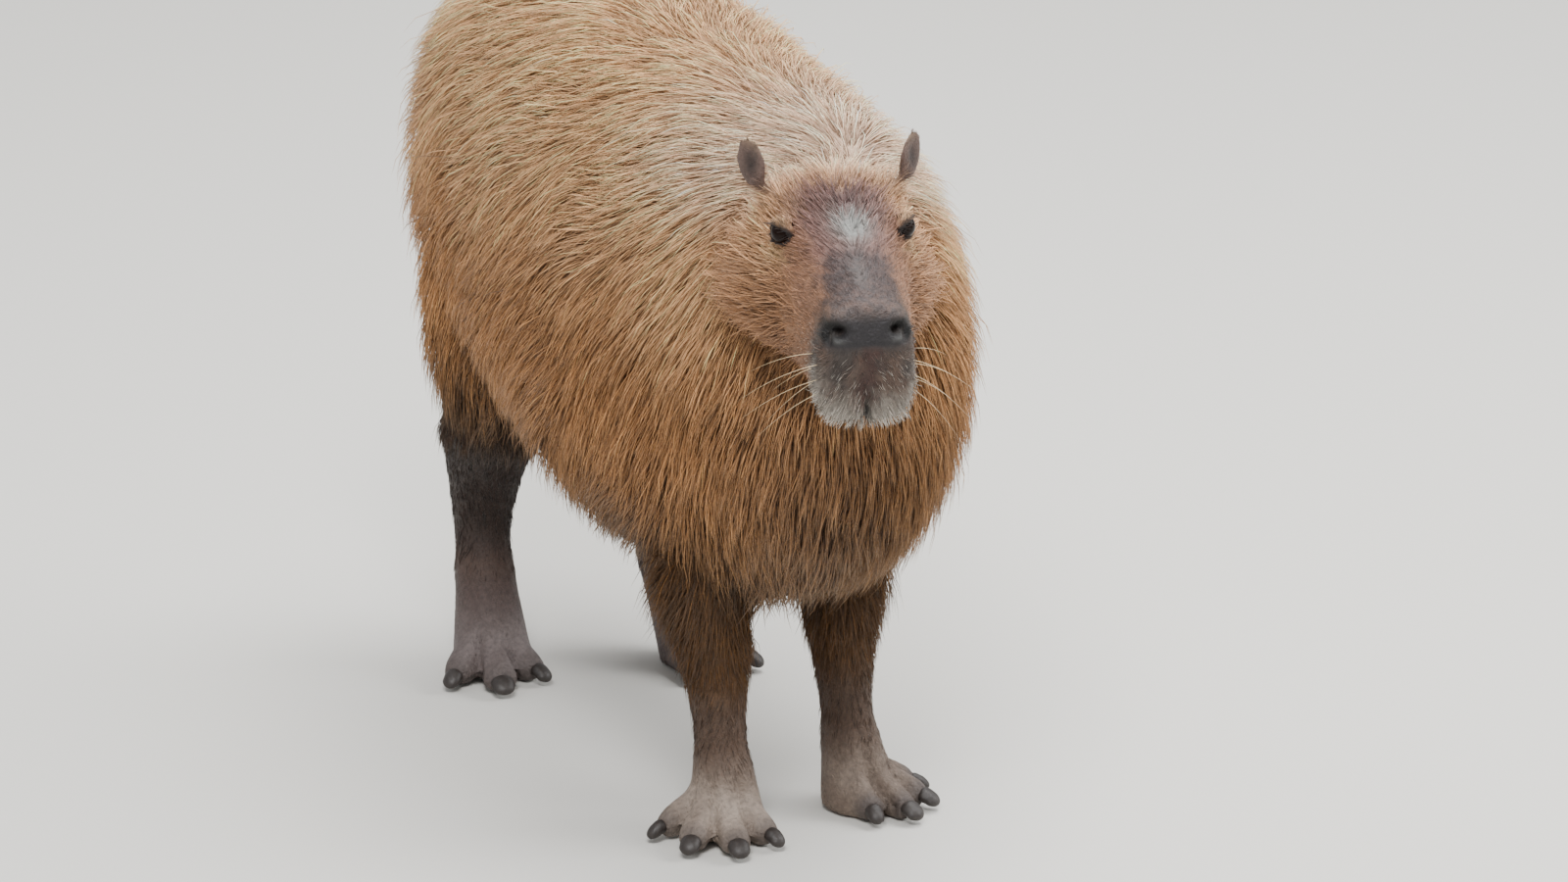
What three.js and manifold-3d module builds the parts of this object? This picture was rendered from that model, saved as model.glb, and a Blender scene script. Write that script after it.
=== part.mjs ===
// A standing capybara, life-size, as a still model.
// It faces -Y with +Z up, so its right side is at -X. All lengths are millimetres.
// Each outline is that of the animal out to the tips of its coat.
import * as THREE from 'three';
import { mergeVertices } from 'three/addons/utils/BufferGeometryUtils.js';
import Module from 'manifold-3d';

const wasm = await Module();
wasm.setup();

// Clearance between neighbouring parts of the body
const GAP = 0.4;

// How the head is carried: the middle of the eyes, its turn to the right and the slope of the face
const HEAD_AT = [-60, -222, 590];
const HEAD_TURN = THREE.MathUtils.degToRad(-16);
const HEAD_SLOPE = THREE.MathUtils.degToRad(13);

// The trunk and neck, from the rump forward: the middle of each section, its half width,
// its height above and below the middle, how square it is, and how much wider it is low down
const TRUNK = [
  { at: [0, 612, 414], wide: 104, up: 146, down: 140, square: 2.0, low: 0 },
  { at: [0, 540, 430], wide: 136, up: 194, down: 186, square: 2.15, low: 0 },
  { at: [0, 430, 442], wide: 154, up: 216, down: 208, square: 2.25, low: 0.02 },
  { at: [0, 300, 442], wide: 167, up: 224, down: 226, square: 2.35, low: 0.07 },
  { at: [-4, 170, 438], wide: 170, up: 224, down: 250, square: 2.35, low: 0.1 },
  { at: [-6, 50, 432], wide: 162, up: 220, down: 252, square: 2.3, low: 0.06 },
  { at: [-6, -50, 438], wide: 146, up: 208, down: 226, square: 2.15, low: -0.02 },
  { at: [-14, -126, 454], wide: 124, up: 190, down: 170, square: 2.05, low: -0.03 },
  { at: [-26, -196, 474], wide: 98, up: 172, down: 104, square: 2.0, low: -0.03 },
];
const TRUNK_CAPS = [110, 96];

// The head, in its own frame: the middle of the eyes at the origin and the face along -Y
const HEAD = [
  { at: [0, 118, -46], wide: 66, up: 62, down: 62, square: 2.1, low: 0 },
  { at: [0, 72, -46], wide: 72, up: 72, down: 76, square: 2.2, low: 0.04 },
  { at: [0, 30, -46], wide: 70, up: 72, down: 78, square: 2.3, low: 0.06 },
  { at: [0, -10, -45], wide: 62, up: 66, down: 74, square: 2.4, low: 0.08 },
  { at: [0, -50, -46], wide: 51, up: 58, down: 66, square: 2.6, low: 0.08 },
  { at: [0, -92, -48], wide: 42, up: 54, down: 60, square: 2.8, low: 0.02 },
  { at: [0, -137, -50], wide: 39, up: 52, down: 52, square: 3.1, low: 0.03 },
];
const HEAD_CAPS = [50, 20];
// The front of the muzzle leans forward below the nose, by this share of the depth
const MUZZLE_LEAN = 0.2;

const EYE_RADIUS = 10.5;
const EYE_AT = [48, 0, 0];
const NOSTRIL_AT = [27, -134, -16];
const NOSTRIL_RADII = [8, 9, 5.5];
// The bare nose pad, as a stretch of the head's own frame
const NOSE_LOW = [-60, -200, -27];
const NOSE_HIGH = [60, -110, 40];

// Ears: the root and the tip, in the head's frame
const EAR_ROOT = [60, 62, 2];
const EAR_TIP = [71, 72, 50];
const EAR_WIDTH = 36;
const EAR_THICKNESS = 11;

// Legs: where each paw stands, how far it turns outwards and how far its toes spread
const RIGHT = -1;
const LEFT = 1;
const FORELEGS = [
  { side: RIGHT, name: 'fore_right', paw: [-68, -12], turn: 12, spread: 1 },
  { side: LEFT, name: 'fore_left', paw: [56, 4], turn: 17, spread: 0.82 },
];
const HIND_LEGS = [
  { side: RIGHT, name: 'hind_right', paw: [-90, 425], turn: 12, spread: 1 },
  { side: LEFT, name: 'hind_left', paw: [80, 372], turn: 4, spread: 0.8 },
];
// Heights and half sizes down a foreleg, with how far it stands behind and outside the paw
const FORELEG = [
  { out: 8, back: 52, high: 300, wide: 50, up: 66, down: 66 },
  { out: 6, back: 42, high: 240, wide: 46, up: 56, down: 54 },
  { out: 2, back: 28, high: 180, wide: 37, up: 43, down: 41 },
  { out: 0, back: 16, high: 120, wide: 29, up: 33, down: 32 },
  { out: 0, back: 8, high: 66, wide: 25, up: 27, down: 28 },
  { out: 3, back: -6, high: 24, wide: 35, up: 34, down: 30 },
  { out: 4, back: -8, high: -20, wide: 38, up: 38, down: 30 },
];
const HIND_LEG = [
  { out: 0, back: 20, high: 400, wide: 60, up: 104, down: 104 },
  { out: 2, back: 8, high: 310, wide: 56, up: 92, down: 86 },
  { out: -8, back: 24, high: 225, wide: 45, up: 62, down: 58 },
  { out: -14, back: 54, high: 150, wide: 33, up: 38, down: 36 },
  { out: -10, back: 42, high: 86, wide: 26, up: 30, down: 29 },
  { out: 0, back: 4, high: 26, wide: 36, up: 38, down: 30 },
  { out: 2, back: 0, high: -20, wide: 38, up: 42, down: 30 },
];
// Toes, from the inner one outwards: turn from the paw's line, reach and half width
const FORE_TOES = [
  { name: 'inner', turn: -26, reach: 80, wide: 14 },
  { name: 'second', turn: 0, reach: 90, wide: 17 },
  { name: 'third', turn: 28, reach: 82, wide: 16.5 },
  { name: 'outer', turn: 62, reach: 66, wide: 12 },
];
const HIND_TOES = [
  { name: 'inner', turn: -32, reach: 74, wide: 15 },
  { name: 'middle', turn: 0, reach: 86, wide: 19 },
  { name: 'outer', turn: 34, reach: 72, wide: 15 },
];
const KNUCKLE_BACK = 20;
const KNUCKLE_SHARE = 0.6;
const CLAW_LENGTH = 16;

const COAT = { color: 0xb07a50, roughness: 0.85, metalness: 0 };
const LEG_COAT = { color: 0x7c5f4c, roughness: 0.85, metalness: 0 };
const BARE_SKIN = { color: 0x6d625c, roughness: 0.75, metalness: 0 };
const NOSE_SKIN = { color: 0x3f3a39, roughness: 0.6, metalness: 0 };
const HORN = { color: 0x2d2824, roughness: 0.5, metalness: 0 };
const EYE_GLOSS = { color: 0x0b0806, roughness: 0.05, metalness: 0 };

const FORWARD = new THREE.Vector3(0, -1, 0);
const UPWARD = new THREE.Vector3(0, 0, 1);

// A solid from a closed geometry
function solidOf(geometry) {
  const bare = geometry.clone();
  bare.deleteAttribute('normal');
  bare.deleteAttribute('uv');
  const merged = mergeVertices(bare, 1e-3);
  const vertProperties = Float32Array.from(merged.attributes.position.array);
  const triVerts = Uint32Array.from(merged.index.array);
  return new wasm.Manifold(new wasm.Mesh({ numProp: 3, vertProperties, triVerts }));
}

// The geometry of a solid, for a mesh or for another solid
function geometryOf(solid) {
  const mesh = solid.getMesh();
  const geometry = new THREE.BufferGeometry();
  geometry.setAttribute('position', new THREE.BufferAttribute(Float32Array.from(mesh.vertProperties), 3));
  geometry.setIndex(Array.from(mesh.triVerts));
  geometry.computeVertexNormals();
  return geometry;
}

// The same solid with its surface moved outwards, to cut its neighbours with
function grown(solid, distance = GAP) {
  const geometry = geometryOf(solid);
  const { position, normal } = geometry.attributes;
  for (let i = 0; i < position.count; i += 1) {
    position.setXYZ(
      i,
      position.getX(i) + distance * normal.getX(i),
      position.getY(i) + distance * normal.getY(i),
      position.getZ(i) + distance * normal.getZ(i),
    );
  }
  geometry.deleteAttribute('normal');
  return solidOf(geometry);
}

// A power that keeps the sign, for squarer sections
function signedPower(value, power) {
  return Math.sign(value) * Math.abs(value) ** power;
}

// A smooth step from 0 at one value to 1 at another
function ease(value, from, to) {
  return THREE.MathUtils.smoothstep((value - from) / (to - from), 0, 1);
}

// A closed body along a spine through its stations, with round ends as long as its caps.
// Each swell moves the surface near a point by a vector that fades with distance.
function loft({ stations, caps, around, along, top = UPWARD, swells = [] }) {
  const spine = new THREE.CatmullRomCurve3(stations.map((s) => new THREE.Vector3(...s.at)));
  const sizes = new THREE.CatmullRomCurve3(stations.map((s) => new THREE.Vector3(s.wide, s.up, s.down)));
  const forms = new THREE.CatmullRomCurve3(
    stations.map((s) => new THREE.Vector3(s.square ?? 2, s.low ?? 0, 0)),
  );
  const length = spine.getLength();
  const geometry = new THREE.SphereGeometry(1, around, along);
  const { position, uv } = geometry.attributes;
  for (let i = 0; i < position.count; i += 1) {
    const place = 1 - uv.getY(i);
    const quarter = Math.PI / 2;
    const capShare = 0.22;
    let travelled = 0;
    let fullness = 1;
    if (place < capShare) {
      const turn = (quarter * place) / capShare;
      travelled = caps[0] * (1 - Math.cos(turn));
      fullness = Math.sin(turn);
    } else if (place > 1 - capShare) {
      const turn = (quarter * (1 - place)) / capShare;
      travelled = length - caps[1] * (1 - Math.cos(turn));
      fullness = Math.sin(turn);
    } else {
      const share = (place - capShare) / (1 - 2 * capShare);
      travelled = caps[0] + share * (length - caps[0] - caps[1]);
    }
    const t = spine.getUtoTmapping(travelled / length);
    const middle = spine.getPoint(t);
    const tangent = spine.getTangent(t);
    const size = sizes.getPoint(t);
    const form = forms.getPoint(t);
    const side = new THREE.Vector3().crossVectors(top, tangent).normalize();
    const lift = new THREE.Vector3().crossVectors(tangent, side);
    const across = Math.hypot(position.getX(i), position.getZ(i)) || 1;
    const power = 2 / form.x;
    const sideways = signedPower(position.getX(i) / across, power);
    const upright = signedPower(position.getZ(i) / across, power);
    const height = upright > 0 ? size.y : size.z;
    const widening = 1 - form.y * upright;
    const point = middle
      .addScaledVector(side, sideways * size.x * widening * fullness)
      .addScaledVector(lift, upright * height * fullness);
    const start = point.clone();
    for (const { at, reach, move } of swells) {
      const far =
        ((start.x - at[0]) / reach[0]) ** 2 +
        ((start.y - at[1]) / reach[1]) ** 2 +
        ((start.z - at[2]) / reach[2]) ** 2;
      const share = Math.exp(-far);
      point.x += share * move[0];
      point.y += share * move[1];
      point.z += share * move[2];
    }
    position.setXYZ(i, point.x, point.y, point.z);
  }
  return geometry;
}

// A box over a stretch of space, for cutting
function block(low, high) {
  const geometry = new THREE.BoxGeometry(high[0] - low[0], high[1] - low[1], high[2] - low[2]);
  geometry.translate((low[0] + high[0]) / 2, (low[1] + high[1]) / 2, (low[2] + high[2]) / 2);
  return geometry;
}

// A big block on the far side of a plane through a point, which faces along a direction
function halfSpace(point, direction, shift = 0) {
  const size = 3000;
  const geometry = block([-size / 2, -size / 2, shift], [size / 2, size / 2, size]);
  const turn = new THREE.Quaternion().setFromUnitVectors(UPWARD, new THREE.Vector3(...direction).normalize());
  geometry.applyQuaternion(turn);
  geometry.translate(...point);
  return solidOf(geometry);
}

// A solid parted by a thin plane cut: what lies in front of it and what lies behind
function parted(solid, point, direction) {
  const back = direction.map((d) => -d);
  return {
    front: solid.intersect(halfSpace(point, direction, GAP / 2)),
    back: solid.intersect(halfSpace(point, back, GAP / 2)),
  };
}

// The largest of the separate bodies that a cut leaves
function largest(solid) {
  const pieces = solid.decompose();
  return pieces.reduce((best, piece) => (piece.volume() > best.volume() ? piece : best));
}

// The head's frame turned and set on the neck
const headPlace = new THREE.Matrix4()
  .makeTranslation(...HEAD_AT)
  .multiply(new THREE.Matrix4().makeRotationZ(HEAD_TURN))
  .multiply(new THREE.Matrix4().makeRotationX(HEAD_SLOPE));

function placedHead(geometry) {
  return geometry.clone().applyMatrix4(headPlace);
}

function ellipsoid(radii, at, around = 12, along = 8) {
  const geometry = new THREE.SphereGeometry(1, around, along);
  geometry.scale(...radii);
  geometry.translate(...at);
  return geometry;
}

// The trunk and neck as one body
function trunkBody() {
  const geometry = loft({
    stations: TRUNK,
    caps: TRUNK_CAPS,
    around: 28,
    along: 22,
    swells: [
      { at: [0, 620, 330], reach: [70, 60, 50], move: [0, 14, 0] },
      { at: [0, -150, 330], reach: [80, 80, 90], move: [0, -8, -6] },
    ],
  });
  return solidOf(geometry);
}

// The head as one body, with its brows, cheeks, lips and bridge
function headBody() {
  const swells = [
    { at: [0, -40, 14], reach: [26, 70, 30], move: [0, 0, 4] },
    { at: [0, -138, -70], reach: [16, 20, 40], move: [0, 4, 0] },
  ];
  for (const side of [RIGHT, LEFT]) {
    swells.push(
      { at: [side * 54, 6, 16], reach: [16, 26, 12], move: [side * 3, 0, 5] },
      { at: [side * 60, -4, -14], reach: [20, 20, 14], move: [side * -4, 0, 0] },
      { at: [side * 70, 20, -62], reach: [30, 44, 38], move: [side * 6, 0, -2] },
      { at: [side * 40, -126, -72], reach: [24, 30, 30], move: [side * 4, -3, 0] },
      { at: [side * 34, -136, -20], reach: [16, 20, 14], move: [side * 3, -3, 2] },
    );
  }
  const geometry = loft({ stations: HEAD, caps: HEAD_CAPS, around: 22, along: 18, swells });
  const { position } = geometry.attributes;
  for (let i = 0; i < position.count; i += 1) {
    const y = position.getY(i);
    const lean = MUZZLE_LEAN * ease(y, -60, -126) * (position.getZ(i) + 10);
    position.setY(i, y + lean);
  }
  return geometry;
}

// An ear: a thin cupped leaf with a blunt tip, its hollow side turned outwards
function earBody(side) {
  const root = new THREE.Vector3(side * EAR_ROOT[0], EAR_ROOT[1], EAR_ROOT[2]);
  const tip = new THREE.Vector3(side * EAR_TIP[0], EAR_TIP[1], EAR_TIP[2]);
  const stations = [0, 0.25, 0.5, 0.75, 1].map((share) => {
    const at = root.clone().lerp(tip, share);
    const leaf = [0.62, 0.9, 1, 0.9, 0.66][Math.round(share * 4)];
    return {
      at: at.toArray(),
      wide: (EAR_WIDTH / 2) * leaf,
      up: (EAR_THICKNESS / 2) * (1.3 - 0.6 * share),
      down: (EAR_THICKNESS / 2) * (1.3 - 0.6 * share),
      square: 2.2,
    };
  });
  const outward = new THREE.Vector3(side * 0.78, -0.58, 0.22).normalize();
  const hollow = {
    at: [side * (EAR_TIP[0] + EAR_ROOT[0] + 14) * 0.5, 66, 42],
    reach: [9, 14, 18],
    move: outward.clone().multiplyScalar(-5).toArray(),
  };
  return loft({ stations, caps: [6, 14], around: 12, along: 8, top: outward, swells: [hollow] });
}

// A leg from its list of stations, which stands over its paw
function legBody(leg, plan) {
  const stations = plan.map((s) => ({
    at: [leg.paw[0] + leg.side * s.out, leg.paw[1] + s.back, s.high],
    wide: s.wide,
    up: s.up,
    down: s.down,
    square: 2.1,
  }));
  return solidOf(loft({ stations, caps: [40, 16], around: 10, along: 12, top: FORWARD }));
}

// A point on the floor ahead of a paw, at a turn outwards from the line it faces
function ahead(leg, turn, reach, height) {
  const angle = THREE.MathUtils.degToRad(leg.turn + turn * leg.spread);
  return [
    leg.paw[0] + leg.side * Math.sin(angle) * reach,
    leg.paw[1] + KNUCKLE_BACK - Math.cos(angle) * reach,
    height,
  ];
}

// A toe: from inside the paw over the knuckle and down to the pad at its tip
function toeBody(leg, toe) {
  const { turn, reach, wide } = toe;
  const stations = [
    { at: ahead(leg, turn, reach * 0.12, 28), wide: wide * 0.95, up: 17, down: 17 },
    { at: ahead(leg, turn, reach * 0.5, 22), wide, up: 15, down: 20 },
    { at: ahead(leg, turn, reach * 0.78, 14), wide: wide * 1.02, up: 13, down: 16 },
    { at: ahead(leg, turn, reach, 9), wide: wide * 0.8, up: 9, down: 11 },
  ];
  return solidOf(loft({ stations, caps: [8, 12], around: 8, along: 6 }));
}

// The stretch of space that holds one toe: past its knuckle and between its neighbours
function toeRegion(leg, toes, index, shift) {
  const pivot = ahead(leg, 0, 0, 0);
  const { turn, reach } = toes[index];
  const knuckle = ahead(leg, turn, reach * KNUCKLE_SHARE, 0);
  const onward = ahead(leg, turn, reach, 0).map((value, axis) => value - knuckle[axis]);
  let region = halfSpace(knuckle, onward, shift);
  for (const step of [-1, 1]) {
    const other = toes[index + step];
    if (other) {
      const between = ahead(leg, (turn + other.turn) / 2, reach, 0).map((value, axis) => value - pivot[axis]);
      const facing = [between[1] * step * leg.side, -between[0] * step * leg.side, 0];
      region = region.intersect(halfSpace(pivot, facing, shift));
    }
  }
  return region;
}

// A claw: a blunt hoof-like nail that runs on from the top of a toe
function clawBody(leg, toe) {
  const { turn, reach, wide } = toe;
  const stations = [
    { at: ahead(leg, turn, reach - CLAW_LENGTH * 0.7, 14), wide: wide * 0.5, up: 7, down: 5 },
    { at: ahead(leg, turn, reach, 10.5), wide: wide * 0.52, up: 6, down: 5 },
    { at: ahead(leg, turn, reach + CLAW_LENGTH * 0.5, 5.5), wide: wide * 0.34, up: 3, down: 3 },
  ];
  return solidOf(loft({ stations, caps: [4, 4], around: 6, along: 4 }));
}

const parts = [];
function keep(name, solid, finish) {
  parts.push({ name, solid: largest(solid), finish });
}

// Everything below the soles is cut away, so that the paws stand on flats at one level
const underground = solidOf(block([-1500, -1500, -200], [1500, 1500, 0]));

const trunk = trunkBody();
const trunkCutter = grown(trunk);
const head = solidOf(placedHead(headBody()));
const headCutter = grown(head);

// Trunk and neck, from the rump forward
const rumpCut = parted(trunk, [0, 365, 0], [0, -1, 0]);
const barrelCut = parted(rumpCut.front, [0, 120, 0], [0, -1, 0]);
const chestCut = parted(barrelCut.front, [0, -62, 400], [-0.1, -0.8, 0.5]);
keep('rump', rumpCut.back, COAT);
keep('barrel', barrelCut.back, COAT);
keep('chest', chestCut.back, COAT);
keep('neck', chestCut.front, COAT);

// Tail: a stub under the coat at the rear
const tail = solidOf(ellipsoid([16, 26, 13], [0, 606, 372], 8, 6));
keep('tail', tail.subtract(trunkCutter), COAT);

// Head: skull, muzzle, nose pad and lower jaw, with sockets for the eyes
const eyes = [RIGHT, LEFT].map((side) => ({
  name: side === RIGHT ? 'eye_right' : 'eye_left',
  solid: solidOf(placedHead(ellipsoid(
    [EYE_RADIUS, EYE_RADIUS, EYE_RADIUS],
    [side * EYE_AT[0], EYE_AT[1], EYE_AT[2]],
    10,
    8,
  ))),
}));
let skull = head.subtract(trunkCutter);
for (const eye of eyes) {
  skull = skull.subtract(grown(eye.solid));
  keep(eye.name, eye.solid, EYE_GLOSS);
}
for (const side of [RIGHT, LEFT]) {
  const nostril = ellipsoid(NOSTRIL_RADII, [side * NOSTRIL_AT[0], NOSTRIL_AT[1], NOSTRIL_AT[2]], 8, 6);
  skull = skull.subtract(solidOf(placedHead(nostril)));
}
function headCut(solid, point, direction) {
  const place = new THREE.Vector3(...point).applyMatrix4(headPlace);
  const facing = new THREE.Vector3(...direction).transformDirection(headPlace);
  return parted(solid, place.toArray(), facing.toArray());
}
const jawCut = headCut(skull, [0, -136, -90], [0, -0.1, 1]);
const muzzleCut = headCut(jawCut.front, [0, -62, 0], [0, -1, 0]);
const noseRegion = solidOf(placedHead(block(NOSE_LOW, NOSE_HIGH)));
keep('lower_jaw', jawCut.back, COAT);
keep('skull', muzzleCut.back, COAT);
keep('muzzle', muzzleCut.front.subtract(grown(noseRegion)), COAT);
keep('nose', muzzleCut.front.intersect(noseRegion), NOSE_SKIN);
for (const side of [RIGHT, LEFT]) {
  const ear = solidOf(placedHead(earBody(side)));
  const name = side === RIGHT ? 'ear_right' : 'ear_left';
  keep(name, ear.subtract(headCutter).subtract(trunkCutter), LEG_COAT);
}

// Legs, each parted at the elbow or knee and at the wrist or hock, with toes and claws
function addLeg(leg, plan, toes, joints) {
  const whole = legBody(leg, plan).subtract(underground);
  const outside = whole.subtract(trunkCutter).subtract(headCutter);
  let rest = outside;
  for (const { name, high } of joints) {
    const cut = parted(rest, [0, 0, high], [0, 0, 1]);
    keep(`${leg.name}_${name}`, cut.front, LEG_COAT);
    rest = cut.back;
  }
  const claws = toes.map((toe) => clawBody(leg, toe).subtract(underground));
  let paw = rest;
  for (const toe of toes) {
    paw = paw.add(toeBody(leg, toe).subtract(underground));
  }
  toes.forEach((toe, i) => {
    keep(`${leg.name}_claw_${toe.name}`, claws[i], HORN);
    const own = paw.intersect(toeRegion(leg, toes, i, GAP / 2));
    keep(`${leg.name}_toe_${toe.name}`, own.subtract(grown(claws[i])), BARE_SKIN);
  });
  toes.forEach((toe, i) => {
    paw = paw.subtract(toeRegion(leg, toes, i, -GAP / 2));
  });
  keep(`${leg.name}_paw`, paw, BARE_SKIN);
}
for (const leg of FORELEGS) {
  addLeg(leg, FORELEG, FORE_TOES, [{ name: 'forearm', high: 66 }]);
}
for (const leg of HIND_LEGS) {
  addLeg(leg, HIND_LEG, HIND_TOES, [{ name: 'thigh', high: 226 }, { name: 'shank', high: 92 }]);
}

// The scene graph, with the middle of the whole animal's box over the origin and its soles at zero
const capybara = new THREE.Group();
capybara.name = 'capybara';
for (const { name, solid, finish } of parts) {
  const mesh = new THREE.Mesh(geometryOf(solid), new THREE.MeshStandardMaterial(finish));
  mesh.name = name;
  capybara.add(mesh);
}
const bounds = new THREE.Box3().setFromObject(capybara);
const centre = bounds.getCenter(new THREE.Vector3());
capybara.position.set(-centre.x, -centre.y, -bounds.min.z);
capybara.updateMatrixWorld(true);

export default capybara;
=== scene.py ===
"""A life-size capybara: skin, coat, eyes and claws over its solid frame, on a pale floor in soft light."""
import logging
import math
from collections.abc import Callable
from dataclasses import dataclass, field
from enum import Enum

import bmesh
import bpy
import numpy as np
from mathutils import Matrix, Vector
from mathutils.bvhtree import BVHTree
from mathutils.kdtree import KDTree


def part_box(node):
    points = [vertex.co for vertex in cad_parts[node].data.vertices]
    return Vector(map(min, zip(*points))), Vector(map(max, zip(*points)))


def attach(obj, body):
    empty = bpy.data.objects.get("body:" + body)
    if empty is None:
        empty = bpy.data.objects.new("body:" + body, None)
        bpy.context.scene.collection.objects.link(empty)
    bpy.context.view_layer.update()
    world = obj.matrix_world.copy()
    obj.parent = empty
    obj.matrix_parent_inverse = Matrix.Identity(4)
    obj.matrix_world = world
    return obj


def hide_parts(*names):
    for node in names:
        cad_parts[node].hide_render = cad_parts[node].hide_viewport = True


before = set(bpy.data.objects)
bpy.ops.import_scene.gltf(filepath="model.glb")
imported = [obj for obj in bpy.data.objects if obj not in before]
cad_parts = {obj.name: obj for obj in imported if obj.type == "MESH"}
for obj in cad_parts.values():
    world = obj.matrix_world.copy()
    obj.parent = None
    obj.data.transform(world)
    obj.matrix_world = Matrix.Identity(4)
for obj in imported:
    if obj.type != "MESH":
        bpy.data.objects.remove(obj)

LOG = logging.getLogger("capybara")
Paint = Callable[[tuple, np.ndarray], None]
UP = np.array([0.0, 0.0, 1.0])


class Region(Enum):
    """The parts of the body that wear their coat differently."""

    BODY = 0
    NECK = 1
    THIGH = 2
    LEG = 3
    PAW = 4
    TOE = 5
    FACE = 6
    MUZZLE = 7
    NOSE = 8
    EAR = 9


REGION_WORDS = (
    ("toe", Region.TOE), ("paw", Region.PAW), ("shank", Region.LEG), ("thigh", Region.THIGH),
    ("neck", Region.NECK), ("skull", Region.FACE), ("lower_jaw", Region.MUZZLE),
    ("muzzle", Region.MUZZLE), ("nose", Region.NOSE), ("ear", Region.EAR),
)


def region_of(node: str) -> Region:
    """The region that a flesh node belongs to."""
    found = [region for word, region in REGION_WORDS if word in node.replace("forearm", "shank")]
    return found[0] if found else Region.BODY


@dataclass(frozen=True)
class Pelt:
    """How one region wears its coat, in metres.

    depth is how far the skin lies inside the outline, and smoothing how many passes soften the facets.
    rise is how far a tuft stands off the skin, in radians, and per_m2 how many grow on a square metre.
    """

    depth: float
    smoothing: int
    length: float
    width: float
    rise: float
    per_m2: float


PELTS = {
    Region.BODY: Pelt(0.022, 170, 0.060, 0.00105, 0.36, 68000),
    Region.NECK: Pelt(0.020, 170, 0.054, 0.00102, 0.42, 82000),
    Region.THIGH: Pelt(0.013, 150, 0.042, 0.00115, 0.30, 62000),
    Region.LEG: Pelt(0.004, 50, 0.014, 0.0010, 0.24, 110000),
    Region.PAW: Pelt(0.0015, 14, 0.008, 0.0009, 0.16, 120000),
    Region.TOE: Pelt(0.0008, 7, 0.005, 0.0008, 0.12, 60000),
    Region.FACE: Pelt(0.004, 26, 0.014, 0.00085, 0.28, 150000),
    Region.MUZZLE: Pelt(0.0025, 22, 0.010, 0.00070, 0.32, 190000),
    Region.NOSE: Pelt(0.0012, 20, 0.0065, 0.0006, 0.30, 190000),
    Region.EAR: Pelt(0.0010, 9, 0.0048, 0.0005, 0.20, 300000),
}
LONG_COAT = [Region.BODY.value, Region.NECK.value, Region.THIGH.value]


def worn(weights: np.ndarray, measure: str) -> np.ndarray:
    """One measure of the coat at each point, blended from those of its regions."""
    return weights @ np.array([getattr(PELTS[region], measure) for region in Region], float)


def srgb(red: float, green: float, blue: float) -> np.ndarray:
    """A colour given in 0 to 255 steps, as linear light."""
    value = np.array([red, green, blue]) / 255.0
    return np.where(value <= 0.04045, value / 12.92, ((value + 0.055) / 1.055) ** 2.4)


def ramp(value: np.ndarray, low: float, high: float) -> np.ndarray:
    """A smooth step from 0 at low to 1 at high, which may also fall."""
    share = np.clip((value - low) / (high - low), 0.0, 1.0)
    return share * share * (3.0 - 2.0 * share)


def spot(points: np.ndarray, centre: tuple, reach: tuple) -> np.ndarray:
    """A soft blob: 1 at its centre and fading over its reach."""
    away = (points - np.array(centre)) / np.array(reach)
    return np.exp(-(away ** 2).sum(axis=1))


def unit(vectors: np.ndarray) -> np.ndarray:
    """The vectors at length one."""
    return vectors / np.maximum(np.linalg.norm(vectors, axis=1, keepdims=True), 1e-9)


def on_head_share(weights: np.ndarray, gain: float = 1.0) -> np.ndarray:
    """How much each point belongs to the head, from 0 to 1."""
    names = (Region.FACE, Region.MUZZLE, Region.NOSE, Region.EAR)
    return np.clip(sum(weights[:, name.value] for name in names) * gain, 0.0, 1.0)


def clouds(points: np.ndarray, scale: float, seed: int) -> np.ndarray:
    """Smooth drifting values from -1 to 1, made of a few slanted waves.

    Args:
        points: Places to read, one to a row.
        scale: The rough size of one cloud in metres.
        seed: Picks the waves.

    Returns:
        One value for each point.
    """
    picker = np.random.default_rng(seed)
    total = np.zeros(len(points))
    waves = 7
    for _ in range(waves):
        heading = picker.normal(size=3)
        heading /= np.linalg.norm(heading)
        pitch = 2.0 * math.pi / (scale * picker.uniform(0.6, 1.8))
        total += np.sin(points @ heading * pitch + picker.uniform(0, 2 * math.pi))
    return np.clip(total / 2.6, -1.0, 1.0)


class HeadFrame:
    """The head's own frame, found from the eyes: the face runs along -Y from the middle of the eyes."""

    slope = math.radians(13.0)

    def __init__(self) -> None:
        """Reads where the eyes are."""
        left, right = [np.array(sum(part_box(name), Vector())) / 2 for name in ("eye_left", "eye_right")]
        self.origin = (left + right) / 2
        side = (left - right) / np.linalg.norm(left - right)
        level = np.cross(side, UP)
        forward = level * math.cos(self.slope) - UP * math.sin(self.slope)
        self.axes = np.array([side, -forward, np.cross(side, -forward)])
        self.eye_out = float(np.linalg.norm(left - right)) / 2

    def inside(self, points: np.ndarray) -> np.ndarray:
        """Places in the head's frame, from places in the room."""
        return (points - self.origin) @ self.axes.T

    def outside(self, points: np.ndarray) -> np.ndarray:
        """Places in the room, from places in the head's frame."""
        return points @ self.axes + self.origin

    def turn_out(self, vectors: np.ndarray) -> np.ndarray:
        """Directions in the room, from directions in the head's frame."""
        return vectors @ self.axes


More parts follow.
